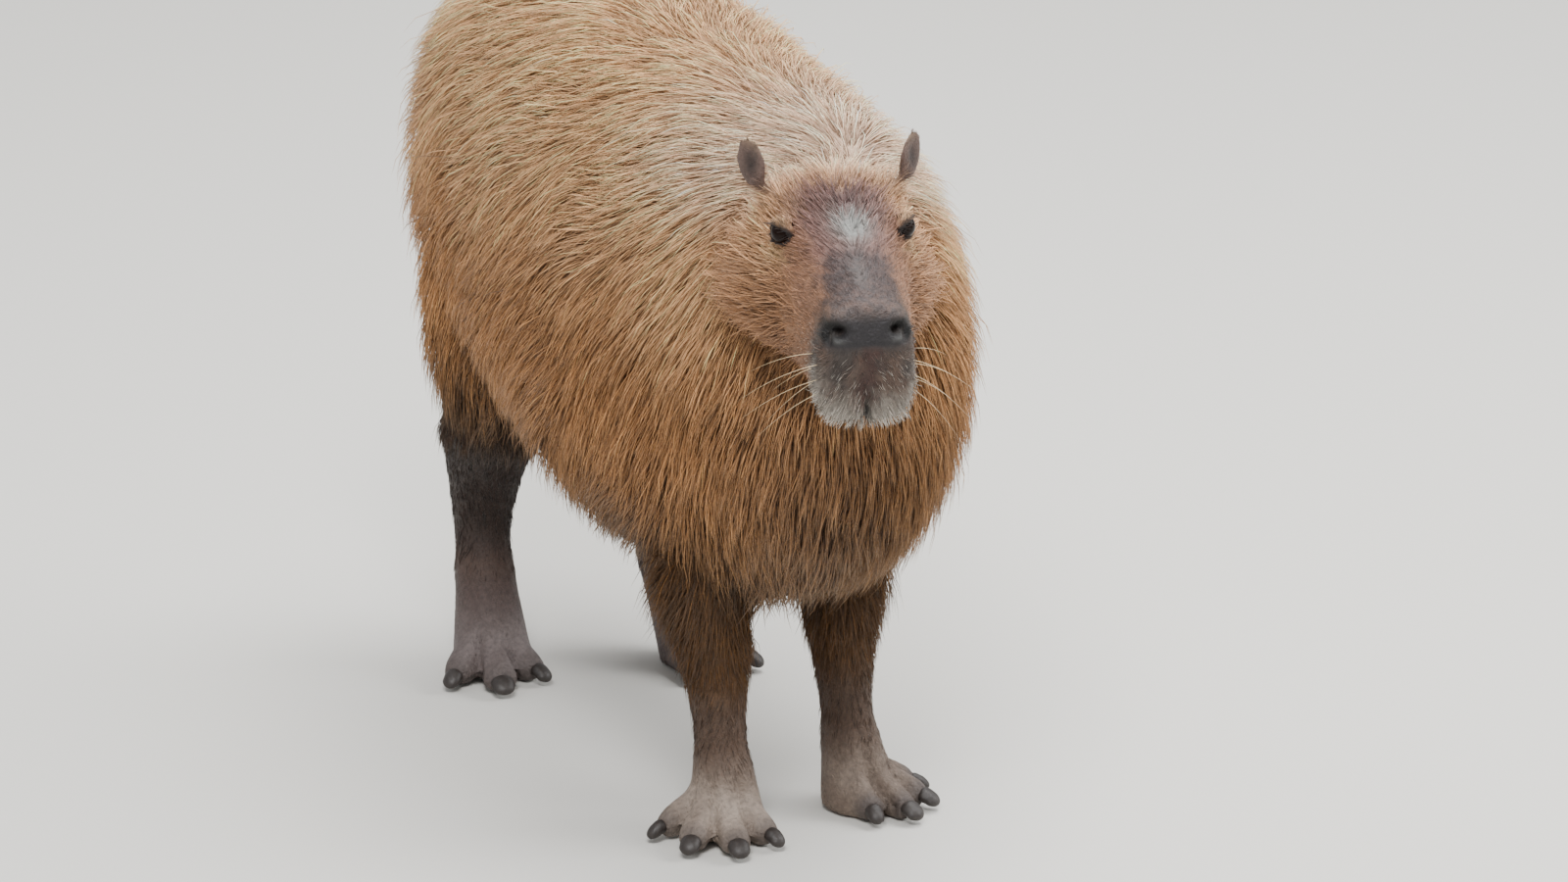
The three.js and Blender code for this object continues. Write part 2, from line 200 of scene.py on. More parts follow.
@dataclass(frozen=True)
class Eye:
    """An eye and its lids, in the head's frame and in metres."""

    radius: float = 0.0105
    lid: float = 0.0013
    inset: float = 0.0045
    half_long: float = 0.0100
    half_high: float = 0.0080
    tilt: float = math.radians(5.0)
    facing: tuple = (0.76, -0.63, 0.15)

    def axes(self, side: int) -> np.ndarray:
        """The eye's own directions.

        Args:
            side: -1 for the right eye and 1 for the left.

        Returns:
            The way it looks, the line between its corners and the line across it.
        """
        look = np.array([side * self.facing[0], self.facing[1], self.facing[2]])
        look /= np.linalg.norm(look)
        flat = np.cross(np.array([0.0, 0.0, 1.0]), look) * -side
        flat /= np.linalg.norm(flat)
        high = np.cross(look, flat)
        high *= np.sign(high[2])
        along = flat * math.cos(self.tilt) - high * math.sin(self.tilt)
        across = high * math.cos(self.tilt) + flat * math.sin(self.tilt)
        return np.array([look, along, across])


@dataclass(frozen=True)
class Patch:
    """A soft patch of one tone on the face, in the head's frame and in metres."""

    tone: str
    centre: tuple
    reach: tuple
    strength: float

    def share(self, local: np.ndarray, side: int = 1) -> np.ndarray:
        """How strongly the patch, or its twin at side -1, colours each point."""
        centre = (side * self.centre[0], *self.centre[1:])
        return np.minimum(spot(local, centre, self.reach) * self.strength, 1.0)


FOREHEAD_STREAK = Patch("streak", (0.004, 0.010, 0.026), (0.015, 0.018, 0.03), 0.8)
BRIDGE_PATCHES = (
    Patch("patch", (0.0, -0.082, 0.004), (0.007, 0.018, 0.02), 0.22),
    Patch("patch", (0.003, -0.026, 0.017), (0.0135, 0.0165, 0.03), 1.3),
)
EYE_PATCHES = (
    Patch("ring", (0.049, 0.006, 0.017), (0.011, 0.014, 0.008), 1.0),
    Patch("ring", (0.056, -0.006, -0.017), (0.014, 0.014, 0.009), 0.8),
)
EYE_CORNER = Patch("lash", (0.062, 0.019, 0.004), (0.012, 0.011, 0.0035), 0.9)
NOSTRIL_PATCHES = (
    # A pale streak below each nostril: a painted wet highlight
    Patch("patch", (0.028, -0.133, -0.0235), (0.008, 0.012, 0.0022), 0.28),
    # The nostrils: painted shade, near black, in their dents
    Patch("nostril_shade", (0.0262, -0.130, -0.0155), (0.0085, 0.020, 0.0052), 2.0),
    Patch("nostril_shade", (0.0330, -0.130, -0.0225), (0.0040, 0.016, 0.0060), 1.6),
)
# The lip's cleft: painted shade in the slit between the upper lip's halves
LIP_CLEFT = Patch("cleft", (0.0, -0.145, -0.090), (0.0034, 0.03, 0.013), 1.3)
# The ear's hollow: partly darker bare skin, partly painted shade in the recess
EAR_HOLLOW = Patch("lash", (0.0650, 0.0665, 0.025), (0.0095, 0.0100, 0.0150), 0.9)


@dataclass(frozen=True)
class Markings:
    """The colours of skin and coat, by place on the body.

    Tones are in 0 to 255 steps. A pair of lengths says where a tone starts and where it is full.
    """

    flank: tuple = (169, 119, 73)
    # Back and crown: partly their own pale coat, partly painted light from above
    back: tuple = (242, 191, 140)
    crown: tuple = (248, 212, 184)
    # Chest and belly: partly their own dark coat, partly painted shade under the chin and the body
    chest: tuple = (80, 50, 20)
    belly: tuple = (61, 40, 15)
    hind: tuple = (42, 29, 23)
    # The front legs' dark tone: partly their own coat, partly painted shade under the chest
    leg: tuple = (83, 54, 22)
    wrist: tuple = (74, 56, 44)
    hock: tuple = (72, 58, 54)
    foot: tuple = (150, 136, 124)
    hind_foot: tuple = (104, 94, 92)
    toe_tip: tuple = (74, 66, 63)
    face: tuple = (146, 106, 80)
    cheek: tuple = (160, 116, 80)
    forehead: tuple = (124, 92, 84)
    patch: tuple = (140, 140, 136)
    bridge: tuple = (66, 57, 57)
    grey: tuple = (72, 63, 58)
    nose: tuple = (36, 33, 35)
    streak: tuple = (84, 60, 58)
    lash: tuple = (34, 25, 23)
    # The chin below the mouth: partly its own dark coat, partly painted shade under the upper lip
    stripe: tuple = (66, 42, 36)
    chin: tuple = (60, 48, 38)
    lip: tuple = (176, 168, 156)
    ring: tuple = (190, 158, 112)
    ear: tuple = (104, 84, 76)
    # Painted shade inside the nostrils, near black
    nostril_shade: tuple = (10, 8, 8)
    # Painted shade in the lip's cleft and along the mouth line
    cleft: tuple = (22, 18, 16)
    frost: tuple = (206, 198, 186)
    back_height: tuple = (0.40, 0.60)
    chest_place: tuple = (-0.19, -0.33)
    chest_height: tuple = (0.50, 0.30)
    belly_height: tuple = (0.38, 0.22)
    crown_behind_eyes: tuple = (0.03, 0.09)
    crown_height: tuple = (0.54, 0.60)
    crown_place: tuple = (-0.02, -0.24)
    hind_place: tuple = (0.05, 0.12)
    thigh_height: tuple = (0.33, 0.25)
    wrist_height: tuple = (0.15, 0.10)
    hock_height: tuple = (0.13, 0.07)
    foot_height: tuple = (0.080, 0.030)
    hind_foot_height: tuple = (0.075, 0.030)
    claw_distance: tuple = (0.028, 0.010)
    # Where the painted shade on the left feet begins and where it is full
    left_side: tuple = (0.0, 0.02)
    bridge_start: float = 0.045
    bridge_half: float = 0.022
    bridge_flare: float = 0.12
    mouth_height: float = -0.0985
    mouth_curve: float = 3.0
    lid_rim_reach: tuple = (1.50, 1.22)

    def colour(self, points: np.ndarray, weights: np.ndarray, head: HeadFrame) -> np.ndarray:
        """The colour at each point, as linear light.

        Args:
            points: Places on the skin.
            weights: How much each point belongs to each region.
            head: The head's frame.

        Returns:
            One colour for each point.
        """
        colour = np.repeat(srgb(*self.flank)[None], len(points), 0)

        def paint(tone: tuple, share: np.ndarray) -> None:
            """Lays a tone over the colour so far.

            Args:
                tone: The tone.
                share: How much of it each point takes.
            """
            nonlocal colour
            share = np.clip(share, 0.0, 1.0)[:, None]
            colour = colour * (1 - share) + srgb(*tone) * share

        local = head.inside(points)
        self.paint_trunk(points, local, paint)
        self.paint_legs(points, weights, paint)
        self.paint_head(local, weights, paint)
        self.paint_muzzle(local, weights, paint)
        return colour

    def paint_trunk(self, points: np.ndarray, local: np.ndarray, paint: Paint) -> None:
        """Lays the pale back and crown, partly painted light from above, and the dark chest and belly, partly
        painted shade beneath.

        Args:
            points: Places on the skin.
            local: The same places in the head's frame.
            paint: The function that lays a tone.
        """
        height, along = points[:, 2], points[:, 1]
        drift = 0.02 * clouds(points, 0.16, 5)
        # Painted light: the back is paler towards the top, partly its own pale coat and partly light from
        # above
        paint(self.back, ramp(height + drift, *self.back_height) * 0.9)
        # Painted shade: the chest is darker under the chin, partly its own dark coat and partly the shadow
        # there
        paint(self.chest, ramp(along, *self.chest_place) * ramp(height, *self.chest_height) * 0.9)
        # Painted shade: the belly is darker towards the bottom, partly its own coat and partly shade under
        # the body
        paint(self.belly, ramp(height, *self.belly_height) * 0.92)
        # Painted light: the crown is paler on top, partly its own pale coat and partly light from above
        crown = ramp(local[:, 1], *self.crown_behind_eyes) * ramp(height, *self.crown_height)
        paint(self.crown, crown * ramp(along, *self.crown_place) * 0.9)

    def paint_legs(self, points: np.ndarray, weights: np.ndarray, paint: Paint) -> None:
        """Lays the legs' tones, from dark shanks, partly painted shade, to the greyish feet, with painted
        shade on the left feet.

        Args:
            points: Places on the skin.
            weights: How much each point belongs to each region.
            paint: The function that lays a tone.
        """
        height = points[:, 2]
        behind = ramp(points[:, 1], *self.hind_place)
        before = 1 - behind
        thigh = weights[:, Region.THIGH.value] * ramp(height, *self.thigh_height)
        paint(self.hind, thigh * 0.85 * behind)
        leg = weights[:, Region.LEG.value]
        # Painted shade: the front legs are darker, partly their own coat and partly shade under the chest
        paint(self.leg, leg * before)
        paint(self.hind, leg * behind)
        low_leg = leg + weights[:, Region.PAW.value] + weights[:, Region.TOE.value]
        mottle = 0.8 + 0.2 * clouds(points, 0.03, 9)
        # Painted shade: the feet on the left side are less pale and their toe tips darker
        left = ramp(points[:, 0], *self.left_side)
        paint(self.wrist, low_leg * ramp(height, *self.wrist_height) * before)
        paint(self.hock, low_leg * ramp(height, *self.hock_height) * behind)
        paint(self.foot, low_leg * ramp(height, *self.foot_height) * mottle * before * (1 - 0.45 * left))
        paint(self.hind_foot, low_leg * ramp(height, *self.hind_foot_height) * mottle * behind)
        paint(self.toe_tip, self.near_claws(points) * (0.65 + 0.25 * left))

    def lid_rim(self, local: np.ndarray, side: int) -> np.ndarray:
        """How close each point of the face is to the edge of an eye's opening.

        Args:
            local: Places in the head's frame.
            side: -1 for the right eye and 1 for the left.

        Returns:
            A value from 0 to 1 for each point.
        """
        eye = Eye()
        seen = (local - np.array([side * 0.048, 0.0, 0.0])) @ eye.axes(side).T
        oval = np.sqrt((seen[:, 1] / eye.half_long) ** 2 + (seen[:, 2] / (eye.half_high * 0.85)) ** 2)
        return ramp(oval, *self.lid_rim_reach) * (seen[:, 0] > 0) * (seen[:, 0] < 0.02)

    def near_claws(self, points: np.ndarray) -> np.ndarray:
        """How close each point is to a claw, from 0 to 1.

        Args:
            points: Places on the skin.

        Returns:
            The closeness of each point.
        """
        close = np.zeros(len(points))
        for name in (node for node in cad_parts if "claw" in node):
            middle = np.array(sum(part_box(name), Vector())) / 2
            close = np.maximum(close, ramp(np.linalg.norm(points - middle, axis=1), *self.claw_distance))
        return close

    def paint_head(self, local: np.ndarray, weights: np.ndarray, paint: Paint) -> None:
        """Lays the markings of brow, cheeks, bridge and eyes.

        Args:
            local: Places in the head's frame.
            weights: How much each point belongs to each region.
            paint: The function that lays a tone.
        """
        on_head = on_head_share(weights, 1.2)
        out, fore, high = np.abs(local[:, 0]), -local[:, 1], local[:, 2]
        frayed = 0.004 * clouds(local, 0.016, 31)
        side_on = ramp(out, 0.042, 0.066) * 0.75
        paint(self.face, on_head * ramp(fore, -0.070, 0.010) * (1 - side_on))
        cheek = ramp(out, 0.030, 0.055) * ramp(high, -0.010, -0.050) * ramp(fore, 0.13, 0.08)
        paint(self.cheek, on_head * cheek * 0.8)
        out = out + frayed
        forehead = ramp(out, 0.050, 0.022) * ramp(high, -0.010, 0.012) * ramp(fore, -0.060, -0.020)
        paint(self.forehead, on_head * forehead)
        paint(getattr(self, FOREHEAD_STREAK.tone), on_head * FOREHEAD_STREAK.share(local))
        half = self.bridge_half + self.bridge_flare * np.clip(fore - self.bridge_start, 0, 0.09)
        bridge = ramp(out - half, 0.010, -0.004) * ramp(fore + frayed, 0.040, 0.064)
        mottle = 0.84 + 0.12 * clouds(local, 0.007, 35)
        paint(self.bridge, on_head * bridge * ramp(high, -0.040, -0.018) * mottle)
        for patch in BRIDGE_PATCHES:
            paint(getattr(self, patch.tone), on_head * patch.share(local))
        for side in (-1, 1):
            for patch in EYE_PATCHES:
                paint(getattr(self, patch.tone), on_head * patch.share(local, side))
            paint(self.lash, self.lid_rim(local, side) * on_head)
            paint(getattr(self, EYE_CORNER.tone), on_head * EYE_CORNER.share(local, side))

    def paint_muzzle(self, local: np.ndarray, weights: np.ndarray, paint: Paint) -> None:
        """Lays the markings of nose, nostrils, lips, chin and ears, with painted shade in the nostrils, lip
        cleft, mouth line, chin and ear hollows, and a painted highlight below each nostril.

        Args:
            local: Places in the head's frame.
            weights: How much each point belongs to each region.
            paint: The function that lays a tone.
        """
        on_head = on_head_share(weights, 1.2)
        fore, high = -local[:, 1], local[:, 2]
        out = np.abs(local[:, 0]) + 0.004 * clouds(local, 0.016, 31)
        muzzle = on_head * ramp(fore, 0.088, 0.118)
        paint(self.grey, muzzle * ramp(high, 0.01, -0.02) * (0.9 + 0.1 * clouds(local, 0.02, 33)))
        paint(self.lip, muzzle * ramp(high, -0.058, -0.090) * 0.9)
        paint(self.lip, muzzle * ramp(out, 0.032, 0.041) * ramp(high, -0.040, -0.070) * 0.5)
        pad = ramp(fore, 0.121, 0.131) * ramp(high, -0.036, -0.026) * ramp(out, 0.042, 0.034)
        paint(self.nose, on_head * pad)
        stripe = ramp(out, 0.014, 0.002) * ramp(high, -0.026, -0.034) * ramp(high, -0.090, -0.070)
        paint(self.stripe, muzzle * stripe * 0.85)
        for side in (-1, 1):
            # Painted shade in the nostrils, and a painted highlight below each
            for patch in NOSTRIL_PATCHES:
                paint(getattr(self, patch.tone), patch.share(local, side))
        # Painted shade in the lip's cleft
        paint(getattr(self, LIP_CLEFT.tone), LIP_CLEFT.share(local))
        mouth = high - self.mouth_height - self.mouth_curve * local[:, 0] ** 2
        # Painted shade: the chin below the mouth line is darker, partly its own coat and partly shade under
        # the upper lip
        paint(self.chin, on_head * ramp(mouth, 0.001, -0.003) * ramp(fore, 0.02, 0.06))
        # Painted shade along the mouth line
        paint(self.cleft, ramp(fore, 0.085, 0.105) * ramp(np.abs(mouth), 0.0050, 0.0020))
        ear = weights[:, Region.EAR.value]
        paint(self.ear, ear * 1.4)
        paint(self.ring, ear * ramp(high, 0.034, 0.054) * 0.35)
        # Painted shade in the ear hollows, partly their darker bare skin
        for side in (-1, 1):
            paint(getattr(self, EAR_HOLLOW.tone), ear * EAR_HOLLOW.share(local, side))


class Nodes:
    """A small helper that lays out one material's nodes."""

    def __init__(self, name: str) -> None:
        """Starts a material with a Principled shader.

        Args:
            name: The material's name.
        """
        self.material = bpy.data.materials.new(name)
        self.material.use_nodes = True
        self.tree = self.material.node_tree
        self.shader = self.tree.nodes["Principled BSDF"]

    def add(self, kind: str, **values: float) -> bpy.types.Node:
        """Adds a node.

        Args:
            kind: Its type.
            values: Values for its inputs, by name with underscores for spaces.

        Returns:
            The node.
        """
        node = self.tree.nodes.new(kind)
        for name, value in values.items():
            node.inputs[name.replace("_", " ")].default_value = value
        return node

    def link(self, source: bpy.types.NodeSocket, target: bpy.types.NodeSocket) -> None:
        """Joins two sockets."""
        self.tree.links.new(source, target)

    def place(self) -> bpy.types.NodeSocket:
        """The place on the object."""
        return self.add("ShaderNodeTexCoord").outputs["Object"]

    def noise(self, scale: float, detail: float = 3.0) -> bpy.types.Node:
        """Noise on the object's own place.

        Args:
            scale: How fine it is.
            detail: How many finer layers it has.

        Returns:
            The noise node.
        """
        node = self.add("ShaderNodeTexNoise", Scale=scale, Detail=detail)
        self.link(self.place(), node.inputs["Vector"])
        return node

    def tinted(self, dark: float, light: float, scale: float) -> None:
        """Colours the shader by the tint kept on the mesh, varied by fine noise.

        Args:
            dark: The least strength.
            light: The greatest strength.
            scale: The noise's scale.
        """
        tint = self.add("ShaderNodeAttribute")
        tint.attribute_name = "tint"
        grain = self.noise(scale, 4.0)
        strength = self.add("ShaderNodeMapRange", From_Min=0.3, From_Max=0.7, To_Min=dark, To_Max=light)
        self.link(grain.outputs["Fac"], strength.inputs["Value"])
        mixed = self.add("ShaderNodeVectorMath")
        mixed.operation = "SCALE"
        self.link(tint.outputs["Color"], mixed.inputs[0])
        self.link(strength.outputs["Result"], mixed.inputs["Scale"])
        self.link(mixed.outputs["Vector"], self.shader.inputs["Base Color"])

    def bump(self, height: bpy.types.NodeSocket, distance: float, strength: float) -> None:
        """Adds a bump onto any bump that is already there.

        Args:
            height: The socket that gives the height.
            distance: The bump's depth in metres.
            strength: How strongly it shades.
        """
        node = self.add("ShaderNodeBump", Strength=strength, Distance=distance)
        self.link(height, node.inputs["Height"])
        normal = self.shader.inputs["Normal"]
        if normal.is_linked:
            self.link(normal.links[0].from_socket, node.inputs["Normal"])
        self.link(node.outputs["Normal"], normal)

    def set(self, **values: float) -> None:
        """Values on the shader's own sockets."""
        for name, value in values.items():
            self.shader.inputs[name.replace("_", " ")].default_value = value


@dataclass(frozen=True)
class SkinFinish:
    """Skin under the coat, bare and wrinkled on the paws and nose."""

    roughness: float = 0.62

    def material(self) -> bpy.types.Material:
        """Skin with creases, pores and short hair as bump.

        Returns:
            The material.
        """
        nodes = Nodes("skin")
        nodes.tinted(0.72, 1.12, 260.0)
        nodes.set(Roughness=self.roughness, Specular_IOR_Level=0.35)
        creases = nodes.add("ShaderNodeTexVoronoi", Scale=210.0)
        creases.feature = "DISTANCE_TO_EDGE"
        nodes.link(nodes.place(), creases.inputs["Vector"])
        nodes.bump(creases.outputs["Distance"], 0.0016, 0.7)
        nodes.bump(nodes.noise(620.0, 3.0).outputs["Fac"], 0.0010, 0.8)
        nodes.bump(nodes.noise(70.0, 3.0).outputs["Fac"], 0.003, 0.35)
        return nodes.material


@dataclass(frozen=True)
class CoatFinish:
    """Dry coarse hair, paler towards the tips."""

    roughness: float = 0.58

    def material(self) -> bpy.types.Material:
        """Hair whose tint is kept on each tuft.

        Returns:
            The material.
        """
        nodes = Nodes("coat")
        nodes.tinted(0.80, 1.16, 420.0)
        nodes.set(Roughness=self.roughness, Specular_IOR_Level=0.3)
        nodes.set(Sheen_Weight=0.06, Sheen_Roughness=0.5)
        return nodes.material


@dataclass(frozen=True)
class EyeFinish:
    """A wet dark brown eye."""

    brown: tuple = (30, 16, 10)

    def material(self) -> bpy.types.Material:
        """Near black with a brown mottle, under a clear wet coat.

        Returns:
            The material.
        """
        nodes = Nodes("eye_wet")
        mottle = nodes.noise(700.0)
        colours = nodes.add("ShaderNodeValToRGB")
        colours.color_ramp.elements[0].color = (0.003, 0.002, 0.002, 1)
        colours.color_ramp.elements[1].color = (*srgb(*self.brown), 1)
        nodes.link(mottle.outputs["Fac"], colours.inputs["Fac"])
        nodes.link(colours.outputs["Color"], nodes.shader.inputs["Base Color"])
        nodes.set(Roughness=0.07, IOR=1.2)
        return nodes.material


@dataclass(frozen=True)
class HornFinish:
    """Dull dark horn with a fine bump."""

    tone: tuple = (44, 38, 35)

    def material(self) -> bpy.types.Material:
        """Horn mottled by noise, with a fine bump.

        Returns:
            The material.
        """
        nodes = Nodes("horn")
        grain = nodes.noise(300.0)
        colours = nodes.add("ShaderNodeValToRGB")
        colours.color_ramp.elements[0].color = (*srgb(*self.tone) * 0.5, 1)
        colours.color_ramp.elements[1].color = (*srgb(*self.tone) * 1.5, 1)
        nodes.link(grain.outputs["Fac"], colours.inputs["Fac"])
        nodes.link(colours.outputs["Color"], nodes.shader.inputs["Base Color"])
        nodes.set(Roughness=0.48)
        nodes.bump(nodes.noise(900.0).outputs["Fac"], 0.0006, 0.5)
        return nodes.material


@dataclass(frozen=True)
class FloorFinish:
    """A plain pale floor."""

    tone: tuple = (214, 212, 206)

    def material(self) -> bpy.types.Material:
        """Pale and matte.

        Returns:
            The material.
        """
        nodes = Nodes("floor_pale")
        nodes.shader.inputs["Base Color"].default_value = (*srgb(*self.tone), 1)
        nodes.set(Roughness=0.9)
        return nodes.material


def mesh_object(name: str, mesh: bpy.types.Mesh) -> bpy.types.Object:
    """An object in the scene for a mesh.

    Args:
        name: The object's name.
        mesh: Its mesh.

    Returns:
        The object.
    """
    made = bpy.data.objects.new(name, mesh)
    bpy.context.scene.collection.objects.link(made)
    return made


def positions(mesh: bpy.types.Mesh) -> np.ndarray:
    """A mesh's vertices as an array.

    Args:
        mesh: The mesh.

    Returns:
        A row for each vertex.
    """
    flat = np.empty(len(mesh.vertices) * 3, np.float32)
    mesh.vertices.foreach_get("co", flat)
    return flat.reshape(-1, 3).astype(float)


def normals(mesh: bpy.types.Mesh) -> np.ndarray:
    """A mesh's vertex normals as an array.

    Args:
        mesh: The mesh.

    Returns:
        A row for each vertex.
    """
    flat = np.empty(len(mesh.vertices) * 3, np.float32)
    mesh.vertex_normals.foreach_get("vector", flat)
    return flat.reshape(-1, 3).astype(float)


def move_to(mesh: bpy.types.Mesh, points: np.ndarray) -> None:
    """Moves a mesh's vertices to new places."""
    mesh.vertices.foreach_set("co", points.astype(np.float32).ravel())
    mesh.update()


def keep_tint(mesh: bpy.types.Mesh, colours: np.ndarray) -> None:
    """Stores a colour for each vertex.

    Args:
        mesh: The mesh.
        colours: A row of linear red, green and blue for each vertex.
    """
    layer = mesh.color_attributes.new("tint", "FLOAT_COLOR", "POINT")
    full = np.ones((len(colours), 4), np.float32)
    full[:, :3] = colours
    layer.data.foreach_set("color", full.ravel())


class Neighbours:
    """Averages over the edges of a mesh."""

    def __init__(self, mesh: bpy.types.Mesh) -> None:
        """Reads the edges.

        Args:
            mesh: The mesh.
        """
        flat = np.empty(len(mesh.edges) * 2, np.int32)
        mesh.edges.foreach_get("vertices", flat)
        ends = flat.reshape(-1, 2)
        self.source = np.concatenate([ends[:, 0], ends[:, 1]])
        self.target = np.concatenate([ends[:, 1], ends[:, 0]])
        self.count = len(mesh.vertices)
        self.degree = np.maximum(np.bincount(self.source, minlength=self.count), 1)

    def mean(self, values: np.ndarray) -> np.ndarray:
        """The mean of each vertex's neighbours."""
        columns = [
            np.bincount(self.source, values[self.target, k], minlength=self.count) / self.degree
            for k in range(values.shape[1])
        ]
        return np.stack(columns, axis=1)


def relaxed(mesh: bpy.types.Mesh, passes: np.ndarray, ring: Neighbours) -> np.ndarray:
    """Smooths a mesh, each vertex for its own number of passes.

    Args:
        mesh: The mesh, which stays as it is.
        passes: The number of passes of each vertex.
        ring: The mesh's edges.

    Returns:
        The smoothed places.
    """
    points = positions(mesh)
    for step in range(int(passes.max())):
        share = np.clip(passes - step, 0.0, 1.0)[:, None] * 0.5
        points += (ring.mean(points) - points) * share
    return points


@dataclass(frozen=True)
class Dent:
    """A soft dent in the skin, or a swelling where its depth is below nought, in the head's frame."""

    centre: tuple
    reach: tuple
    depth: float

    def pressed(self, local: np.ndarray, out: np.ndarray, side: int) -> np.ndarray:
        """The skin's places with the dent.

        Args:
            local: The skin's places in the head's frame.
            out: The way out of the skin at each place.
            side: 1 for the dent, or -1 for its twin on the right.

        Returns:
            The new places.
        """
        centre = (side * self.centre[0], *self.centre[1:])
        return local - out * (spot(local, centre, self.reach) * self.depth)[:, None]


# Brow, lower lid, tear hollow, nostril wing, nostril, the nostril's slit and the upper lip
PAIRED_DENTS = (
    Dent((0.050, -0.002, 0.018), (0.013, 0.020, 0.009), -0.0016),
    Dent((0.060, -0.006, -0.017), (0.014, 0.018, 0.008), -0.0016),
    Dent((0.046, -0.034, -0.004), (0.010, 0.020, 0.012), 0.0025),
    Dent((0.027, -0.131, -0.015), (0.0125, 0.018, 0.0105), -0.0032),
    Dent((0.0262, -0.132, -0.0155), (0.0072, 0.020, 0.0046), 0.0150),
    Dent((0.0325, -0.131, -0.0225), (0.0040, 0.018, 0.0058), 0.0060),
    Dent((0.018, -0.143, -0.084), (0.016, 0.030, 0.014), -0.0030),
)
# The lip's cleft and the nose between the nostrils
MIDDLE_DENTS = (
    Dent((0.0, -0.145, -0.086), (0.0030, 0.030, 0.018), 0.0065),
    Dent((0.0, -0.135, -0.018), (0.009, 0.020, 0.012), 0.0015),
)
EAR_FACING = (0.78, -0.58, 0.22)


@dataclass
class Skin:
    """One skin over all the flesh: joined from the frame's nodes, set in by the coat's depth and sculpted."""

    voxel: float = 0.0038
    overlap: float = 0.0009
    blend_passes: int = 34
    nape_depth: float = 0.009
    toe_back: float = 0.038
    cleft_width: float = 0.0055
    cleft_depth: float = 0.016
    hidden_depth: float = 0.012
    hidden_share: float = 0.4
    mouth_depth: float = 0.007
    hollow_depth: float = 0.0030
    lid_reach: tuple = (0.0185, 0.0150)
    upper_lid: float = 0.72
    eye: Eye = field(default_factory=Eye)
    markings: Markings = field(default_factory=Markings)

    def flesh_nodes(self) -> list[str]:
        """The nodes that the skin stands for."""
        return sorted(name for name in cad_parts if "claw" not in name and not name.startswith("eye"))

    def joined(self) -> tuple[bpy.types.Mesh, np.ndarray]:
        """The flesh and eyes as one mesh of closed shells that just overlap.

        Returns:
            The mesh and the region of each of its faces.
        """
        shells = bmesh.new()
        regions = []
        names = self.flesh_nodes() + ["eye_left", "eye_right"]
        for name in names:
            part = bmesh.new()
            part.from_mesh(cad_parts[name].data)
            bmesh.ops.remove_doubles(part, verts=part.verts, dist=1e-6)
            part.normal_update()
            for vertex in part.verts:
                vertex.co += vertex.normal * self.overlap
            copy = bpy.data.meshes.new("shell")
            part.to_mesh(copy)
            part.free()
            shells.from_mesh(copy)
            face_region = Region.FACE if name.startswith("eye") else region_of(name)
            regions += [face_region.value] * len(copy.polygons)
            bpy.data.meshes.remove(copy)
        mesh = bpy.data.meshes.new("skin")
        shells.to_mesh(mesh)
        shells.free()
        return mesh, np.array(regions)

    def build(self, head: HeadFrame) -> bpy.types.Object:
        """Makes the skin.

        Args:
            head: The head's frame.

        Returns:
            The skin, with its tint and its unwrap.
        """
        mesh, regions = self.joined()
        self.tree = BVHTree.FromPolygons(
            [vertex.co.copy() for vertex in mesh.vertices], [list(face.vertices) for face in mesh.polygons]
        )
        self.face_regions = regions
        made = mesh_object("skin", mesh)
        remesh = made.modifiers.new("whole", "REMESH")
        remesh.mode = "VOXEL"
        remesh.voxel_size = self.voxel
        self.apply(made)
        self.drop_crumbs(made.data)
        ring = Neighbours(made.data)
        weights = self.weigh(positions(made.data), ring, 14)
        passes = worn(weights, "smoothing")
        points = relaxed(made.data, passes, ring)
        move_to(made.data, points)
        weights = self.weigh(points, ring, self.blend_passes)
        depth = worn(weights, "depth")
        nape = weights[:, Region.FACE.value] * ramp(head.inside(points)[:, 1], -0.020, 0.060)
        depth += nape * self.nape_depth
        points = points - normals(made.data) * depth[:, None]
        move_to(made.data, points)
        move_to(made.data, relaxed(made.data, np.full(len(points), 4.0) * (depth > 0.01), ring))
        self.part_toes(made.data)
        self.thin_body(made, depth)
        self.refine_face(made.data, head)
        self.sculpt(made.data, head)
        self.dress(made, head)
        return made

    @staticmethod
    def apply(made: bpy.types.Object) -> None:
        """Turns an object's modifiers into its mesh.

        Args:
            made: The object.
        """
        graph = bpy.context.evaluated_depsgraph_get()
        finished = bpy.data.meshes.new_from_object(made.evaluated_get(graph))
        made.modifiers.clear()
        made.data = finished

    @staticmethod
    def drop_crumbs(mesh: bpy.types.Mesh) -> None:
        """Keeps only the largest connected shell.

        Args:
            mesh: The mesh, which is changed.
        """
        shell = bmesh.new()
        shell.from_mesh(mesh)
        left = set(shell.verts)
        groups = []
        while left:
            start = left.pop()
            group, edge = {start}, [start]
            while edge:
                for link in edge.pop().link_edges:
                    for vertex in link.verts:
                        if vertex in left:
                            left.discard(vertex)
                            group.add(vertex)
                            edge.append(vertex)
            groups.append(group)
        groups.sort(key=len)
        for group in groups[:-1]:
            bmesh.ops.delete(shell, geom=list(group), context="VERTS")
        shell.to_mesh(mesh)
        shell.free()

    def weigh(self, points: np.ndarray, ring: Neighbours, passes: int) -> np.ndarray:
        """How much each point belongs to each region, blended across the borders.

        Args:
            points: The skin's points.
            ring: The skin's edges.
            passes: How often the borders are blended.

        Returns:
            A row for each point, with a weight for each region.
        """
        weights = np.zeros((len(points), len(Region)))
        for index, point in enumerate(points):
            face = self.tree.find_nearest(Vector(point))[2]
            weights[index, self.face_regions[face]] = 1.0
        for _ in range(passes):
            weights = (weights + ring.mean(weights)) / 2
        return weights

